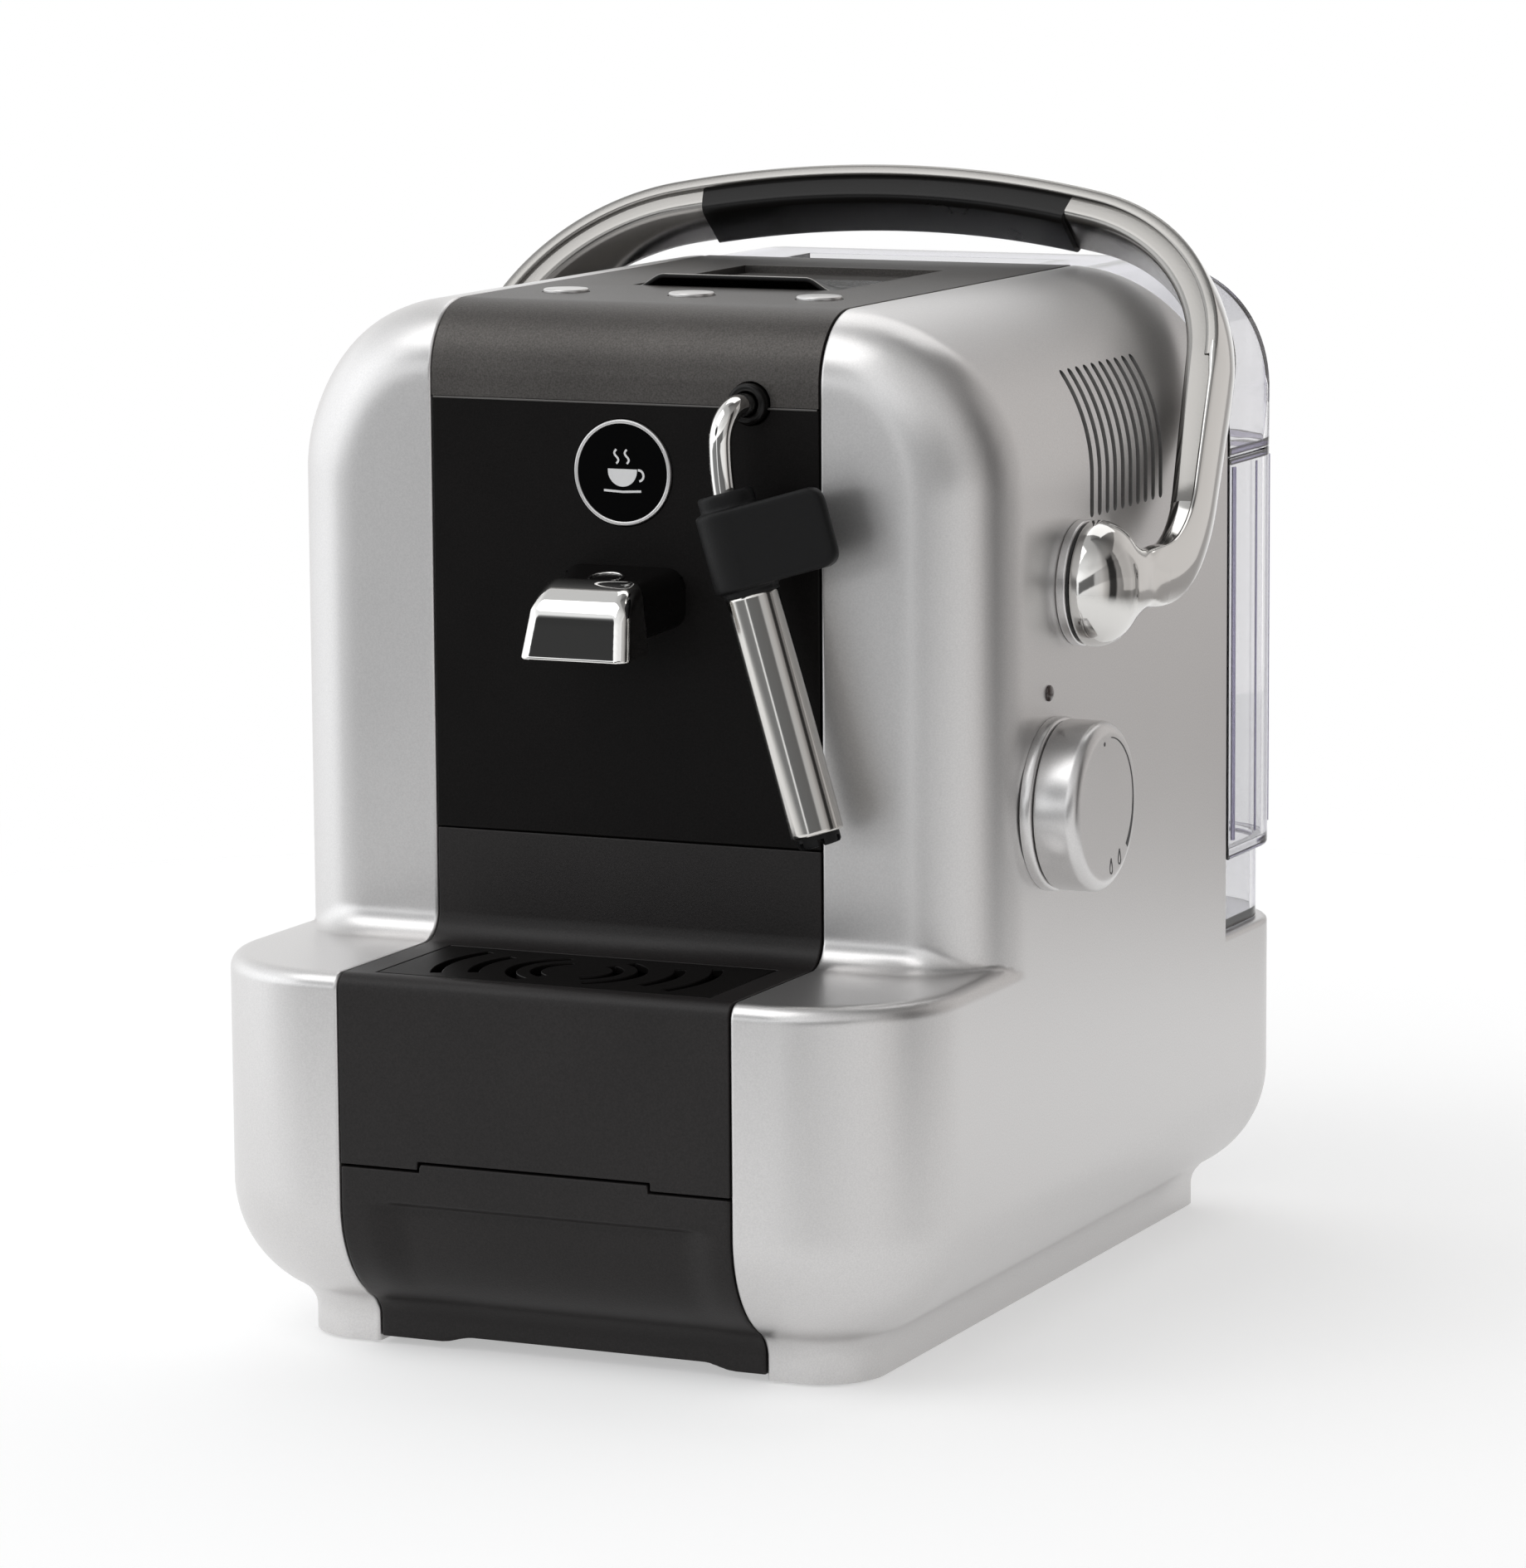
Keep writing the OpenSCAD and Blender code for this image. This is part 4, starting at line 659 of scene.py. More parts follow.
def piece_of_path(name, keep, top, low, wid, mat, replaces=(), r=2.2):
    """Bar along the kept stations of the lever, run by run. Sizes are functions of the station."""
    idx = [i for i in range(N_PATH) if keep(i)]
    runs, cur = [], [idx[0]]
    for i in idx[1:]:
        if i == cur[-1] + 1:
            cur.append(i)
        else:
            runs.append(cur)
            cur = [i]
    runs.append(cur)
    V, F = [], []
    for run in runs:
        p_, f_ = sweep([ALL[i] for i in run],
                       lambda j: inner_ring(top(run[j]), low(run[j]), wid(run[j]), r))
        o = len(V)
        V += p_
        F += [tuple(k + o for k in f) for f in f_]
    put(name, V, F, mat, "lever", replaces, sharp=45)


sh_ = [p[3] for p in path]
px = [abs(p[0][0]) for p in path]
pz = [p[0][2] for p in path]
piece_of_path("lever_arms", lambda i: pz[i] < 196.5 and i in REST, lambda i: t_at(sh_[i]) - 2.2,
              lambda i: -t_at(sh_[i]), lambda i: w_at(sh_[i]) * 0.95, "soft_chrome", r=3.4)
piece_of_path("lever_trim", lambda i: px[i] > 50.5 and pz[i] > 194.5, lambda i: t_at(sh_[i]) - 2.3,
              lambda i: -t_at(sh_[i]) + 0.15, lambda i: w_at(sh_[i]) * 0.9, "trim")
strip = [(4.15, 8.3), (4.15, 8.9), (3.9, 9.1), (3.2, 9.16), (2.2, 9.16), (1.3, 9.12), (1.0, 8.9),
         (1.0, 7.6)]
arch_part = [i for i in range(N_PATH) if sh_[i] > 0.995]
last = len(arch_part) - 1
sink = [0.8 * (1 - min(1, k / 5, (last - k) / 5)) ** 1.5 for k in range(last + 1)]
for side, s_ in (("front", 1), ("back", -1)):
    s_ = s_ if ALL[N_PATH // 2][2][1] < 0 else -s_
    ring = [(u, s_ * v) for u, v in (strip if s_ > 0 else strip[::-1])]
    pts, faces = sweep([ALL[i] for i in arch_part],
                       lambda i: [(u - sink[i] * 0.6, v - s_ * sink[i]) for u, v in ring])
    put("lever_strip_" + side, pts, faces, "trim", "lever", sharp=60)
piece_of_path("lever_grip_piece", lambda i: px[i] < 54, lambda i: 2.6, lambda i: -6.2, lambda i: 16.0,
              "black_gloss", ("lever_grip",))


def hub_field(x, y, z):
    """Domed hub of the right arm, blended into the first stretch of the arm."""
    dy, dz = y - PIVOT[0], z - PIVOT[1]
    px_, pr = np.maximum(x - 101.2, 0) / 10.7, np.hypot(dy, dz) / 15.5
    k1 = np.sqrt(px_ ** 2 + pr ** 2) + 1e-9
    k2 = np.sqrt((px_ / 10.7) ** 2 + (pr / 15.5) ** 2) + 1e-9
    dome = iround(k1 * (k1 - 1) / k2, 99.3 - x, 0.9)
    sh = -1.1 * (1 - sstep(-24, 2, y)) ** 1.5
    late = sstep(-15, -3, y)
    t, w = t_at(sh), w_at(sh) * (0.975 + 0.025 * late)
    rad = 3.2 - 2.1 * late * (x > LEG_X)
    crown = late * (dz / (w / 2)) ** 2 * (x > LEG_X)
    qx, qz = abs(x - LEG_X) - t + crown + rad, abs(dz) - w / 2 + rad
    leg = np.maximum(rounded(qx, qz, rad), PIVOT[0] - y)
    return uround(dome, leg, 3.2)


Y_LEG = float(path[4][0][1])
P, Q = nets(hub_field, lines((98.7, 101, 0.4), (101, 113.4, 0.65)), lines((-38.6, Y_LEG, 0.65)),
            lines((PIVOT[1] - 16.6, PIVOT[1] + 16.6, 0.65)), clamp=((1, 1),))
for side, sx in (("right", 1), ("left", -1)):
    put("lever_hub_" + side, P * np.array([sx, 1, 1]), Q if sx > 0 else Q[:, ::-1], "soft_chrome",
        "lever", sharp=60)

# ---------- steam wand

W_LEAN = math.radians(16.3)
W_AT = (34.0, PANEL - 15.0, 212.0)


def wand_place(p):
    """Points from the wand's own frame, along z, to its leaning place."""
    p = np.asarray(p, float)
    c, sn = math.cos(W_LEAN), math.sin(W_LEAN)
    x = p[:, 0] * c - p[:, 2] * sn + W_AT[0]
    z = p[:, 0] * sn + p[:, 2] * c + W_AT[2]
    return np.stack([x, p[:, 1] + W_AT[1], z], -1)


def drop(x, y, r1, r2, h):
    """Distance to a drop shape: circle r1 at the origin, circle r2 at x = h."""
    b = (r1 - r2) / h
    a = math.sqrt(1 - b * b)
    y = abs(y)
    k = -b * y + a * x
    far = np.where(k > a * h, np.hypot(x - h, y) - r2, y * a + x * b - r1)
    return np.where(k < 0, np.hypot(x, y) - r1, far)


def grip_field(x, y, z):
    """Rubber grip round the wand with its thumb tab, collar and seat for the sleeve."""
    r = np.hypot(x, y)
    body = iround(r - 8.5, abs(z + 13.75) - 9.75, 1.0)
    collar = iround(r - 6.9, abs(z + 3.0) - 3.0, 0.9)
    seat = iround(r - 6.8, abs(z + 24.0) - 1.3, 0.4)
    plan = drop(x, y, 8.45, 2.3, 22.7)
    side = rbox(x, 0 * y, z, (8.0, 0, -13.75), (17.0, 9, 9.7), 4.4)
    tab = iround(plan, side, 1.0)
    return uround(uround(np.minimum(body, tab), collar, 0.5), seat, 0.3)


P, Q = nets(grip_field, lines((-9.6, 26.2, 0.7)), lines((-9.6, 9.6, 0.7)), lines((-26.1, 0.9, 0.7)))
put("wand_rubber_grip", wand_place(P), Q, "grip_rubber", "wand", ("wand_grip",), sharp=80)
# the sleeve's rings near its ends keep the shading of its wall straight
prof = [(5.2, -84.4), (6.0, -84.5), (6.35, -84.35), (6.5, -84.0), (6.5, -83.4), (6.5, -82.0),
        (6.5, -27.0), (6.5, -26.0), (6.5, -25.4), (6.3, -25.0), (5.0, -24.4)]
pts, faces = lathe(prof, 96)
pts = wand_place(pts)
put("wand_steel_sleeve", pts, faces, "polished_steel", "wand", ("wand_sleeve",), sharp=50)
prof = [(1.4, -79.0), (1.4, -87.2), (3.6, -87.4), (4.9, -87.2), (5.3, -86.6), (5.35, -79.0), (1.4, -79.0)]
pts, faces = lathe(prof, 72)
noz = raw("nozzle", wand_place(pts), faces)
weld(noz)
for a in (0, 60, 120):
    c, sn = math.cos(math.radians(a)), math.sin(math.radians(a))
    box = [(x * c - y * sn, x * sn + y * c, z) for x in (-8, 8) for y in (-0.8, 0.8) for z in (-88, -85.6)]
    fb = [(0, 1, 3, 2), (4, 6, 7, 5), (0, 4, 5, 1), (2, 3, 7, 6), (0, 2, 6, 4), (1, 5, 7, 3)]
    carve(noz, raw("cutter", wand_place(box), fb))
dress_up(noz, "grip_rubber", "wand", ("wand_nozzle",), sharp=40)
# tube: round elbow from the gland down into the grip
st = []
R_EL, TUBE_Z = 8.0, 232.0
yb = W_AT[1] + R_EL
for y in (PANEL + 8.0, PANEL - 1.0, yb):
    st.append(((W_AT[0], y, TUBE_Z), (1.0, 0, 0), (0, 0, 1.0)))
for k in range(1, 17):
    a = math.pi / 2 * k / 16
    dx = -1.1 * math.sin(a) ** 2
    at = (W_AT[0] + dx, yb - R_EL * math.sin(a), TUBE_Z - R_EL * (1 - math.cos(a)))
    st.append((at, (1.0, 0, 0), (0, -math.sin(a), math.cos(a))))
for k in range(1, 9):
    t = k / 8
    st.append(((32.9 + 1.5 * t * t, W_AT[1], 224.0 - 15.0 * t), (1.0, 0, 0), (0, -1.0, 0)))
pts, faces = sweep(st, lambda i: rod(2.8, 40))
put("wand_steel_tube", pts, faces, "chrome", "wand", ("wand_tube",), sharp=60)
prof = [(2.95, -76.0), (2.95, -81.0), (3.3, -81.8), (4.1, -82.1), (4.8, -81.5), (5.05, -80.4), (4.9, -79.4),
        (4.8, -76.0)]
pts, faces = lathe(prof, 72, "y", (W_AT[0], 0, TUBE_Z))
put("wand_gland_ring", pts, faces, "black_gloss", NODE_BODY["wand_gland"], ("wand_gland",),
    sharp=70)

# ---------- spout

C_Y, J_Y = PANEL - 30.5, PANEL - 16.5
COVER_LOW, COVER_WALL = 171.4, 1.5


def cover_field(x, y, z):
    """Outside of the spout's cover: sloped front, curved brow, sides that close in upward."""
    h = z - COVER_LOW
    a = (C_Y + 0.28 * h - y) / 1.04
    b = np.hypot(y - (C_Y + 17.67), z - 171.64) - 18.6
    c = (abs(x) - 14.5 + 0.10 * h) / 1.005
    return iround(iround(a, b, 1.3), c, 3.4)


def cover_shell(x, y, z):
    """The cover as a closed thin shell, open below and behind."""
    f = cover_field(x, y, z)
    wall = iround(f, -(f + COVER_WALL), 0.3)
    return iround(iround(wall, COVER_LOW - z, 0.5), y - J_Y, 0.3)


P, Q = nets(cover_shell, lines((-15.5, 15.5, 0.5)), lines((-110.6, J_Y + 1.0, 0.5)),
            lines((170.6, 191.0, 0.5)))
put("spout_chrome_cover", P, Q, "chrome", "body", ("spout_cover",), sharp=80)


def hood_field(x, y, z):
    """Black hood that widens from the cover to the panel."""
    t = np.clip((y - (J_Y - 1.5)) / (PANEL - J_Y + 1.5), 0, 1)
    e = t * t * 0.35 + t * 0.65
    w = 11.4 + 5.1 * e
    lo, hi = 173.6 + 2.6 * e, 188.3 + 3.0 * e
    qx, qz = abs(x) - w + 5.0, abs(z - (lo + hi) / 2) - (hi - lo) / 2 + 5.0
    return rounded(qx, qz, 5.0)


P, Q = nets(hood_field, lines((-17.4, 17.4, 0.7)), lines((J_Y - 1.5, PANEL + 0.2, 0.8)),
            lines((172.6, 192.6, 0.7)), clamp=((1, 0), (1, 1)))
ob = raw("spout_black_hood", P, Q)
thicken(ob, 1.5)
dress_up(ob, "black_gloss", "body", ("spout_hood",), sharp=60)


def tilted(pts, at, tilt):
    """Points tipped about x and moved to a place."""
    c, sn = math.cos(tilt), math.sin(tilt)
    return [(x + at[0], y * c - z * sn + at[1], y * sn + z * c + at[2]) for x, y, z in pts]


IN_AT, IN_TILT = (0.0, PANEL - 10.2, 189.5), math.radians(9.0)
prof = [(4.0 + u, 0.05 + v) for u, v in rod(0.32, 16)]
pts, faces = lathe(prof, 72, "z", (0, 0, 0), closed=True)
pts = [(x * 1.05, y, z) for x, y, z in pts]
put("hood_inset_ring", tilted(pts, IN_AT, IN_TILT), faces, "chrome", "body", ("hood_inset",),
    sharp=60)
prof = [(0.0, 0.16), (2.2, 0.14), (3.75, 0.0), (3.8, -0.6), (0.0, -0.6)]
pts, faces = lathe(prof, 60)
weld(put("hood_inset_glass", tilted(pts, IN_AT, IN_TILT), faces, "black_gloss", "body",
         sharp=40))

# ---------- badge

prof = [(11.95, -78.6), (11.95, -79.45), (12.05, -79.62), (12.2, -79.68), (12.7, -79.68), (12.88, -79.6),
        (12.98, -79.4), (12.98, -78.6)]
pts, faces = lathe(prof, 128, "y", (0, 0, 214.0))
put("badge_silver_ring", pts, faces, "satin_metal", "body", ("badge_ring",), sharp=60)
prof = [(0.0, -79.42), (11.93, -79.42), (11.94, -78.6), (0.0, -78.6)]
pts, faces = lathe(prof, 96, "y", (0, 0, 214.0))
weld(put("badge_black_disc", pts, faces, "badge_black", "body", ("badge_disc",), sharp=40))


def flat(name, outlines, place, body, mat="print", thick=0.06):
    """Thin printed marks: closed (u, v) outlines, put in place by a function of (u, v, height)."""
    V, F = [], []
    for ol in outlines:
        n, o = len(ol), len(V)
        V += [place(u, v, 0.0) for u, v in ol] + [place(u, v, thick) for u, v in ol]
        F += [(o + k, o + (k + 1) % n, o + n + (k + 1) % n, o + n + k) for k in range(n)]
        F += [tuple(range(o, o + n)), tuple(reversed(range(o + n, o + 2 * n)))]
    return put(name, V, F, mat, body, smooth=False)


def stroke(pts, w):
    """Outline of a polyline drawn with width w (a number or one per point)."""
    pts = np.asarray(pts, float)
    w = np.broadcast_to(np.asarray(w, float), (len(pts),))
    t = np.gradient(pts, axis=0)
    t /= np.linalg.norm(t, axis=1, keepdims=True)
    nrm = np.stack([-t[:, 1], t[:, 0]], -1) * (w / 2)[:, None]
    return [tuple(q) for q in pts + nrm] + [tuple(q) for q in (pts - nrm)[::-1]]


def circle(r, a0=0.0, a1=360.0, n=32, at=(0, 0)):
    """Points of an arc between two angles in degrees."""
    return [(at[0] + r * math.cos(math.radians(a0 + (a1 - a0) * k / n)),
             at[1] + r * math.sin(math.radians(a0 + (a1 - a0) * k / n))) for k in range(n + 1)]


bowl = [(-3.9, 0.6)] + circle(3.9, 180, 360, 24, (0, 0.2)) + [(3.9, 0.6)]
handle = circle(1.35, -80, 95, 16, (4.3, -0.9))
saucer = [(-5.0, -4.7), (0, -4.95), (5.0, -4.7)]
cup = [bowl, stroke(handle, 0.55), stroke(saucer, 0.55)]
for x0 in (-1.6, 1.2):
    steam = [(x0 + 0.55 * math.sin(t * 2.1), 1.9 + t * 1.15) for t in np.linspace(0, 3, 14)]
    cup.append(stroke(steam, 0.5))
flat("badge_cup_mark", cup, lambda u, v, h: (u, -79.43 - h, 214.3 + v), "body", "mark_white", 0.05)

# thin rod along the panel's upper edge: the rod is a small lip, its grey, lighter than the panel, is a
# painted highlight line
st = [((x, PANEL - 0.02, 230.82), (0, -1.0, 0), (0, 0, 1.0)) for x in (-51.5, 0.0, 51.5)]
pts, faces = sweep(st, lambda i: rod(0.26))
put("panel_upper_edge_highlight", pts, faces, "edge_highlight_grey", "body", sharp=80)

# ---------- steam knob

KY, KZ = KNOB
prof = [(0.0, 110.42), (15.0, 110.44), (17.2, 110.5)]
for k in range(13):
    a = math.pi / 2 * k / 12
    prof.append((17.9 + 3.0 * math.sin(a), 107.5 + 3.0 * math.cos(a)))
prof += [(20.9, 99.9), (20.75, 99.45), (20.3, 99.2), (3.3, 99.2), (0.0, 99.2)]
pts, faces = lathe(prof, 144, "x", (0, KY, KZ))
weld(put("steam_knob_cap", pts, faces, "satin_metal", "knob", ("steam_knob",), sharp=60))
prof = [(4, 96.05), (21.3, 96.05), (21.4, 96.6), (21.35, 98.2), (21.0, 98.75), (20.2, 98.9), (4, 98.9)]
pts, faces = lathe(prof, 128, "x", (0, KY, KZ))
put("knob_base_ring", pts, faces, "satin_metal", "body", ("knob_base",), sharp=60)
arc_pts = circle(16.9, 82, -42, 48)
marks = [stroke(arc_pts, np.concatenate([np.linspace(0.28, 0.5, 30), np.linspace(0.5, 1.5, 19)])),
         circle(0.55, 0, 360, 20, (-2.0, 15.6))[:-1]]
for cx, cy in ((2.4, -15.2), (7.9, -13.6)):
    drop_line = [(cx + 1.1 * math.sin(t) * math.sin(t / 2) ** 1.5, cy + 0.2 + 1.89 * math.cos(t))
                 for t in np.linspace(0.15, 2 * math.pi - 0.15, 26)]
    marks.append(stroke(drop_line, 0.36))


def on_knob(u, v, h):
    """Place on the knob's face, a little prouder near its rim."""
    return 110.45 + h + (0.05 if math.hypot(u, v) > 16.5 else 0), KY + u, KZ + v


flat("knob_print", marks, on_knob, "knob")

# ---------- buttons and lamp

for i, part in enumerate(("button_left", "button_middle", "button_right")):
    prof = [(0.0, 254.95), (3.6, 254.9), (4.9, 254.85)]
    for k in range(9):
        a = math.pi / 2 * k / 8
        prof.append((5.2 + 0.5 * math.sin(a), 254.33 + 0.5 * math.cos(a)))
    prof += [(5.68, 253.2), (2, 253.15), (1.95, 249.95), (0.0, 249.95)]
    pts, faces = lathe(prof, 72, "z", ((i - 1) * 34.5, PANEL + 40, 0))
    weld(put(part + "_cap", pts, faces, "button_grey", NODE_BODY[part], (part,), sharp=50))
dome = [(2.0 * math.cos(a), 96.25 + 0.75 * math.sin(a)) for a in np.linspace(0.1, 1.5, 8)]
prof = [(2.0, 93.0), (2.0, 96.25)] + dome + [(0.0, 97.0)]
pts, faces = lathe(prof, 40, "x", (0, KY - 2.3, 160.0))
weld(put("pilot_lamp_lens", pts, faces, "lamp", "body", ("pilot_lamp",), sharp=80))

# ---------- capsule hatch: plate with a raised front scoop

HATCH_Z, HATCH_Y, HATCH_HALF = 253.6, PANEL + 65.0, 27.7
SCOOP_H, SCOOP_LEN, SCOOP_RAMP = 3.35, 16.0, 7.6
n = 57
rows = []
for dy in (0, 1.0, 3.0, 6.0, 9.0, 12.0, 15.0, 18.0, 36.0):
    hgt = SCOOP_H * (1 - sstep(0, SCOOP_LEN, dy))
    rows.append([(u, HATCH_Y + dy, HATCH_Z + hgt * sstep(0, SCOOP_RAMP, HATCH_HALF - abs(u) - 0.5))
                 for u in np.linspace(-HATCH_HALF, HATCH_HALF, n)])
V = [p_ for row in rows for p_ in row]
F = [(a * n + b, a * n + b + 1, (a + 1) * n + b + 1, (a + 1) * n + b)
     for a in range(len(rows) - 1) for b in range(n - 1)]
ob = raw("hatch_scoop", V, F)
if ob.data.polygons[0].normal.z < 0:
    ob.data.flip_normals()
thicken(ob, 1.1)
soften(ob, 0.3, 2, 40)
dress_up(ob, "black_gloss", NODE_BODY["capsule_hatch"], ("capsule_hatch",), sharp=50)
# grey metal rod along the front edge of the black scoop: a painted highlight line on its rim
rim = [p_ for p_ in rows[0] if abs(p_[0]) < 27.3]
st = [((u, y + 0.55, z - 0.45), (0, -1.0, 0), (0, 0, 1.0)) for u, y, z in rim]
pts, faces = sweep(st, lambda i: rod(0.55))
put("hatch_scoop_highlight_rim", pts, faces, "trim", NODE_BODY["capsule_hatch"], sharp=80)

# ---------- drawer front with its finger hollow


def drawer_field(x, y, z):
    """The black strip's lower front, with the belly of the cheeks and a shallow finger hollow."""
    p = FRONT - y
    belly = rounded(p + BELLY_R, BELLY_Z - z, BELLY_R)
    hollow = 2.3 * (1 - sstep(36, 47, abs(x - 1.5))) * (1 - sstep(39.2, 41.2, z)) * sstep(8, 36, z)
    f = uround(belly + hollow, np.maximum(p + FOOT_IN, z - FOOT_TOP), 4.0)
    top = z - 48.7 - 2.0 * (1 - sstep(30.2, 30.7, abs(x)))
    f = iround(f, top, 0.5)
    low = 2.0 + 1.6 * (1 - sstep(31, 40, abs(x - 4)))
    f = iround(f, low - z, 0.5)
    return iround(f, abs(x) - 51.85, 0.6)


xs = lines((-52.4, -51, 0.35), (-51, -31.5, 1.6), (-31.5, -29.5, 0.3), (-29.5, 29.5, 1.6),
           (29.5, 31.5, 0.3), (31.5, 51, 1.6), (51, 52.4, 0.35))
zs = lines((1.4, 5, 0.5), (5, 37, 1.0), (37, 42, 0.5), (42, 47.8, 1.0), (47.8, 51.6, 0.35))
P, Q = nets(drawer_field, xs, lines((-133.6, -109.5, 0.8)), zs, clamp=((1, 1),))
ob = raw("drawer_soft_front", P, Q)
thicken(ob, 2.2)
dress_up(ob, "tray_black", NODE_BODY["drawer_front"], ("drawer_front",), sharp=50)

# ---------- moulded lines of the tank and its lid


def tank_line(inset):
    """Stations round the tank's sides and back: (point, outward), inset from the outer plan."""
    out = []
    for y in (TANK_Y + 2.0, 96.0, REAR - REAR_R):
        out.append(((HALF_W - inset, y), (1.0, 0.0)))
    r = REAR_R - inset
    for k in range(1, 12):
        a = math.pi / 2 * k / 12
        c, sn = math.cos(a), math.sin(a)
        out.append(((HALF_W - REAR_R + r * c, REAR - REAR_R + r * sn), (c, sn)))
    for x in (HALF_W - REAR_R, 0.0):
        out.append(((x, REAR - inset), (0.0, 1.0)))
    return out + [((-q[0], q[1]), (-o[0], o[1])) for q, o in reversed(out[:-1])]


def bead(name, st, r, part, n=12):
    """Round moulded line of the tank or its lid along stations."""
    pts, faces = sweep(st, lambda i: rod(r, n))
    put(name, pts, faces, "clear_edge", NODE_BODY[part], sharp=80)


def roof_z(x):
    """Height of the lid's roof line, which falls with the round top edge."""
    past = min(max(abs(x) - (HALF_W - TOP_R), 0.0), 43.0)
    return ROOF - TOP_R + math.sqrt(ROOF_R ** 2 - past ** 2)


RIM_Z, STEP_Z = 205.0, 99.9
ROOF, ROOF_R = TOP - 1.2, 43.45
for name, z, part, r in (("lid_rim_bead", RIM_Z + 1.5, "tank_lid", 0.95),
                         ("tank_rim_bead", RIM_Z - 1.2, "water_tank", 0.8),
                         ("tank_step_bead", STEP_Z, "water_tank", 0.6)):
    bead(name, [((*q, z), (*o, 0), (0, 0, 1.0)) for q, o in tank_line(r + 0.05)], r, part)

# the long straight of the roof line is split, so that it follows the curve between two stations
st = [(np.array(q), np.array(o)) for q, o in tank_line(0.55)[4:-4]]
dense = []
for (q0, o0), (q1, o1) in zip(st, st[1:]):
    for t in ((0, 0.25, 0.5, 0.75) if abs(q0[0] - q1[0]) > 10 else (0,)):
        dense.append((q0 * (1 - t) + q1 * t, o0 * (1 - t) + o1 * t))
dense.append(st[-1])
bead("lid_roof_bead", [((*q, roof_z(q[0])), (*o, 0), (0, 0, 1.0)) for q, o in dense], 0.5, "tank_lid")

# two upright ribs on each side wall and one on each rear corner
CORNER = 20.9
for side, sx in (("right", 1), ("left", -1)):
    for k, (x, y, r) in enumerate((
            (HALF_W - 0.1, 86.5, 0.9), (HALF_W - 0.1, 103.5, 0.45),
            (HALF_W - REAR_R + CORNER, REAR - REAR_R + math.sqrt(REAR_R ** 2 - CORNER ** 2), 0.6))):
        st = [((sx * x, y, z), (1.0, 0, 0), (0, 1.0, 0)) for z in (104.5, 160.0, 202.5)]
        bead("tank_rib_%d_%s" % (k, side), st, r, "water_tank", 10)

# ---------- other CAD pieces with soft edges

FINISH = {"top_cover": "cover_black", "drip_tray": "tray_black"}
for part, w in (("front_panel", 0.35), ("top_cover", 0.5), ("rear_panel", 0.5), ("drip_tray", 0.5),
                ("drip_grid", 0.3), ("capsule_bin", 0.5), ("water_tank", 0.8),
                ("tank_lid", 0.8), ("hub_bosses", 0.5), ("rubber_feet", 0.6), ("base_plate", 0.8),
                ("inlet_socket", 0.3), ("power_switch", 0.4), ("rear_screws", 0.3), ("base_screws", 0.3),
                ("spout_outlets", 0.3)):
    dressed(part, w, mat=FINISH.get(part))

for part, ob in frame["nodes"].items():
    ob.data.materials.clear()
    ob.data.materials.append(M[SLOT[part]])

# ---------- light, floor, world

sc = bpy.context.scene
sc.view_settings.view_transform = "Standard"
world = bpy.data.worlds.new("studio")
sc.world = world
world.use_nodes = True
nt = world.node_tree
nt.nodes.clear()
L = nt.links.new
tc = node(nt, "TexCoord")


def calc(op, *values):
    """Math node in the tree at hand; each value is a number or an output."""
    made = node(nt, "Math", operation=op)
    for slot, v in zip(made.inputs, values):
        if isinstance(v, float):
            slot.default_value = v
        else:
            L(v, slot)
    return made.outputs[0]


def facing(direction, stops, ray=None):
    """Grey level or colour from the angle between the ray and a direction: stops are (cosine, level)."""
    dot = node(nt, "VectorMath", {1: Vector(direction).normalized()}, operation="DOT_PRODUCT")
    L(ray or tc.outputs["Generated"], dot.inputs[0])
    ramp = node(nt, "ValToRGB")
    ramp.color_ramp.interpolation = "EASE"
    els = ramp.color_ramp.elements
    while len(els) < len(stops):
        els.new(0.5)
    for e, (c, v) in zip(els, stops):
        e.position = c * 0.5 + 0.5
        e.color = (*(v if isinstance(v, tuple) else (v, v, v)), 1)
    L(calc("MULTIPLY_ADD", dot.outputs["Value"], 0.5, 0.5), ramp.inputs["Fac"])
    return ramp.outputs["Color"]


def around(az, stops):
    """As facing, for the ray's compass direction alone: an upright strip."""
    level = node(nt, "VectorMath", {1: (1, 1, 0)}, operation="MULTIPLY")
    L(tc.outputs["Generated"], level.inputs[0])
    flat_ray = node(nt, "VectorMath", operation="NORMALIZE")
    L(level.outputs["Vector"], flat_ray.inputs[0])
    return facing(way(az, 0), stops, flat_ray.outputs["Vector"])


def panorama(stops):
    """Level by compass direction: stops are (degrees, level), 0 in front and 90 to the right."""
    split = node(nt, "SeparateXYZ")
    L(tc.outputs["Generated"], split.inputs[0])
    bearing = calc("ARCTAN2", split.outputs["X"], calc("MULTIPLY", split.outputs["Y"], -1.0))
    ramp = node(nt, "ValToRGB")
    els = ramp.color_ramp.elements
    els[0].position, els[1].position = 0.0, 1.0
    els[0].color = (*(stops[0][1],) * 3, 1)
    els[1].color = (*(stops[-1][1],) * 3, 1)
    for deg, v in stops[1:-1]:
        els.new(deg / 360 + 0.5).color = (v, v, v, 1)
    L(calc("MULTIPLY_ADD", bearing, 0.5 / math.pi, 0.5), ramp.inputs["Fac"])
    return ramp.outputs["Color"]


def times(a, b, how="MULTIPLY"):
    """Two colours multiplied, or blended in another way."""
    mx = node(nt, "Mix", {0: 1.0}, data_type="RGBA", blend_type=how, clamp_result=False)
    L(a, mx.inputs[6])
    L(b, mx.inputs[7])
    return mx.outputs[2]


def way(az, el):
    """Unit direction from an azimuth (0 in front, 90 to the right) and an elevation."""
    az, el = math.radians(az), math.radians(el)
    return math.sin(az) * math.cos(el), -math.cos(az) * math.cos(el), math.sin(el)


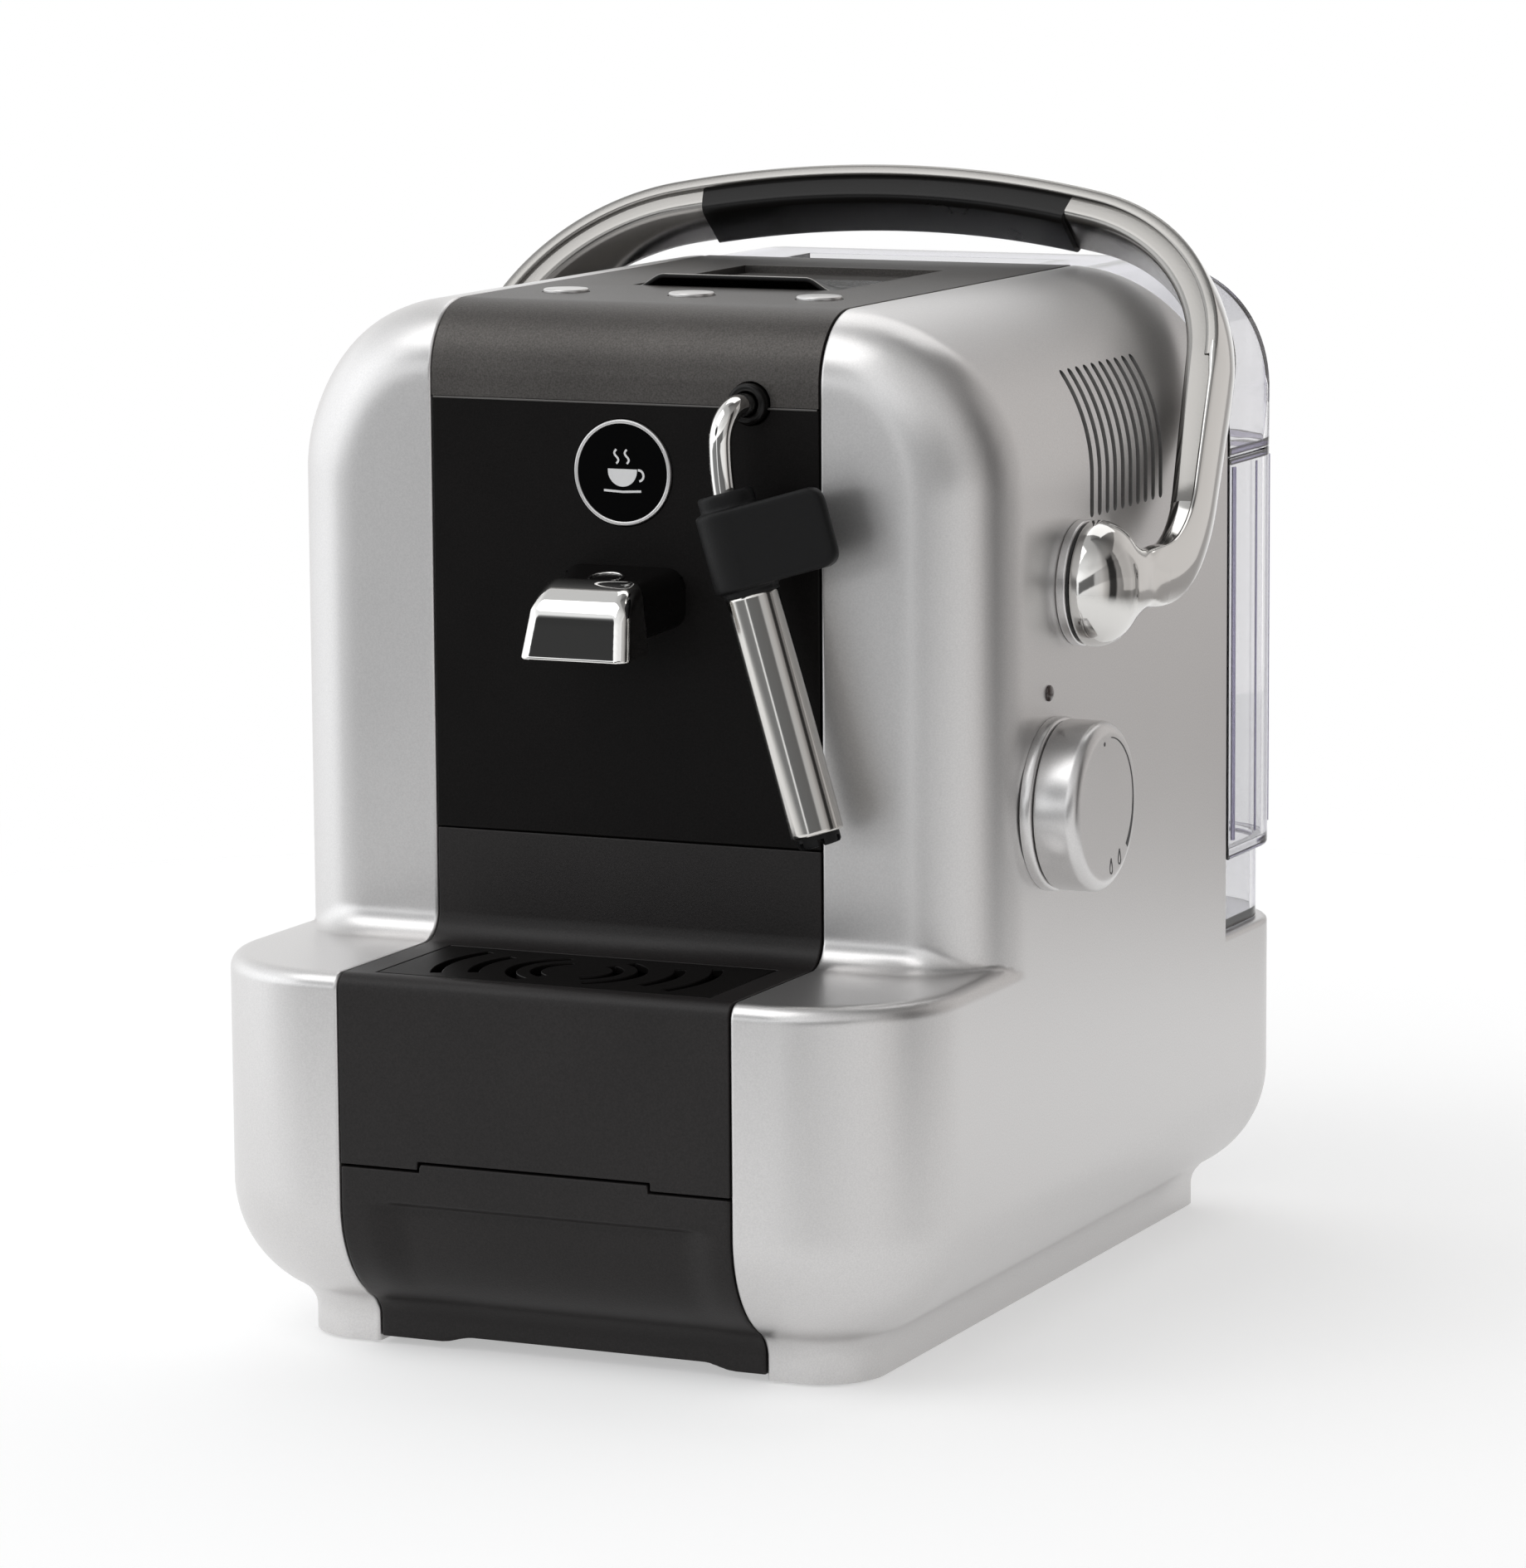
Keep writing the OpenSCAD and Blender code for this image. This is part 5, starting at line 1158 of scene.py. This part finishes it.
# what the surfaces reflect: a sky with darker sides, a soft box, and dark screens between bright bands
dark_right = around(108, ((-1, 1.0), (0.74, 1.0), (0.95, 0.5), (1, 0.48)))
back_right = around(160, ((-1, 1.0), (0.45, 1.0), (0.9, 0.5), (1, 0.48)))
flag = facing(way(-26, 22), ((-1, 1.0), (0.978, 1.0), (0.986, 0.04), (1, 0.03)))
sky = facing((0, 0, 1), ((-1, 0.3), (-0.3, 0.52), (0.0, 0.6), (0.25, 0.58), (0.6, 0.36), (1, 0.2)))
soft_box = facing(way(-36, 50), ((0.0, 0.62), (0.5, 0.76), (0.9, 1.0), (1, 1.0)))
left_wall = facing(way(-110, 5), ((-1, 0.8), (0.2, 0.82), (0.8, 1.0), (1, 1.0)))
tone = facing((0.8, 0.6, 0), ((-1, (0.97, 0.985, 1.0)), (0.2, 0.97), (0.75, (0.88, 0.85, 0.835))))
light = times(times(dark_right, back_right), times(sky, tone))
screens = panorama(((-180, 1.0), (-70, 1.0), (-56, 0.2), (-14, 0.2), (-12.5, 1.0), (-8, 1.0), (-6.5, 0.14),
                    (44, 0.14), (50, 0.6), (180, 1.0)))
low_band = facing((0.292, 0, -0.956), ((-1, 1.0), (-0.17, 1.0), (-0.12, 0.0), (0.17, 0.0),
                                       (0.22, 1.0), (1, 1.0)))
post = panorama(((-180, 1.0), (85, 1.0), (88, 0.1), (103, 0.1), (106, 1.0), (180, 1.0)))
tall_band = facing((0, 0, 1), ((-1, 1.0), (-0.75, 1.0), (-0.6, 0.0), (0.5, 0.0), (0.65, 1.0),
                               (1, 1.0)))
screens = times(times(screens, low_band, "LIGHTEN"), times(post, tall_band, "LIGHTEN"))
room = node(nt, "Background", {"Strength": 3.35})
L(times(times(light, times(flag, screens)), times(soft_box, left_wall)), room.inputs["Color"])

# the plain white that the camera sees, also through the tank and in glossy faces that look behind
white = node(nt, "Background", {"Color": (1, 1, 1, 1), "Strength": 1.0})
lp = node(nt, "LightPath")
behind = facing(way(-150, 0), ((-1, 0.0), (0.8, 0.0), (0.93, 1.0), (1, 1.0)))
seen = calc("MAXIMUM", lp.outputs["Is Camera Ray"], lp.outputs["Is Transmission Ray"])
seen = calc("MAXIMUM", seen, calc("MULTIPLY", lp.outputs["Is Glossy Ray"], behind))
shown = node(nt, "MixShader")
L(seen, shown.inputs["Fac"])
L(room.outputs[0], shown.inputs[1])
L(white.outputs[0], shown.inputs[2])
L(shown.outputs[0], node(nt, "OutputWorld").inputs["Surface"])


def area(name, loc, aim, size, size_y, power, color=(1, 1, 1)):
    """Area lamp at a place, turned to its aim."""
    ld = bpy.data.lights.new(name, "AREA")
    ld.energy = power
    ld.color = color
    ld.shape = "RECTANGLE"
    ld.size = size
    ld.size_y = size_y
    ob = bpy.data.objects.new(name, ld)
    sc.collection.objects.link(ob)
    ob.location = loc
    d = Vector(aim) - Vector(loc)
    ob.rotation_euler = d.to_track_quat("-Z", "Y").to_euler()


area("key", (-0.62, -0.95, 1.75), (0, -0.05, 0.16), 1.3, 1.2, 7.5)
area("top", (-0.1, 0.8, 1.45), (0, 0, 0.1), 1.3, 1.1, 5)
area("side", (1.2, 1.5, 0.7), (0.05, 0, 0.13), 2.0, 1.8, 4, (1, 0.97, 0.95))

bm = bmesh.new()
bmesh.ops.create_circle(bm, cap_ends=True, radius=3.0, segments=64)
me = bpy.data.meshes.new("floor")
bm.to_mesh(me)
bm.free()
floor = bpy.data.objects.new("floor", me)
sc.collection.objects.link(floor)
fm, nt, p = new_mat("floor", Base_Color=(0.66, 0.66, 0.66, 1), Roughness=0.95, Specular_IOR_Level=0.05,
                    Emission_Color=(1, 1, 1, 1))
L = nt.links.new
lp = node(nt, "LightPath")
seen = calc("MAXIMUM", lp.outputs["Is Camera Ray"], lp.outputs["Is Glossy Ray"])
seen = calc("MAXIMUM", seen, lp.outputs["Is Transmission Ray"])
L(calc("MULTIPLY", seen, 0.42), p.inputs["Emission Strength"])
ln = node(nt, "VectorMath", operation="LENGTH")
L(node(nt, "TexCoord").outputs["Object"], ln.inputs[0])
fade = node(nt, "MapRange", {"From Min": 0.35, "From Max": 0.9}, interpolation_type="SMOOTHERSTEP")
L(ln.outputs["Value"], fade.inputs["Value"])
ms = node(nt, "MixShader")
L(fade.outputs["Result"], ms.inputs["Fac"])
L(p.outputs[0], ms.inputs[1])
L(node(nt, "BsdfTransparent").outputs[0], ms.inputs[2])
L(ms.outputs[0], nt.nodes["Material Output"].inputs["Surface"])
floor.data.materials.append(fm)
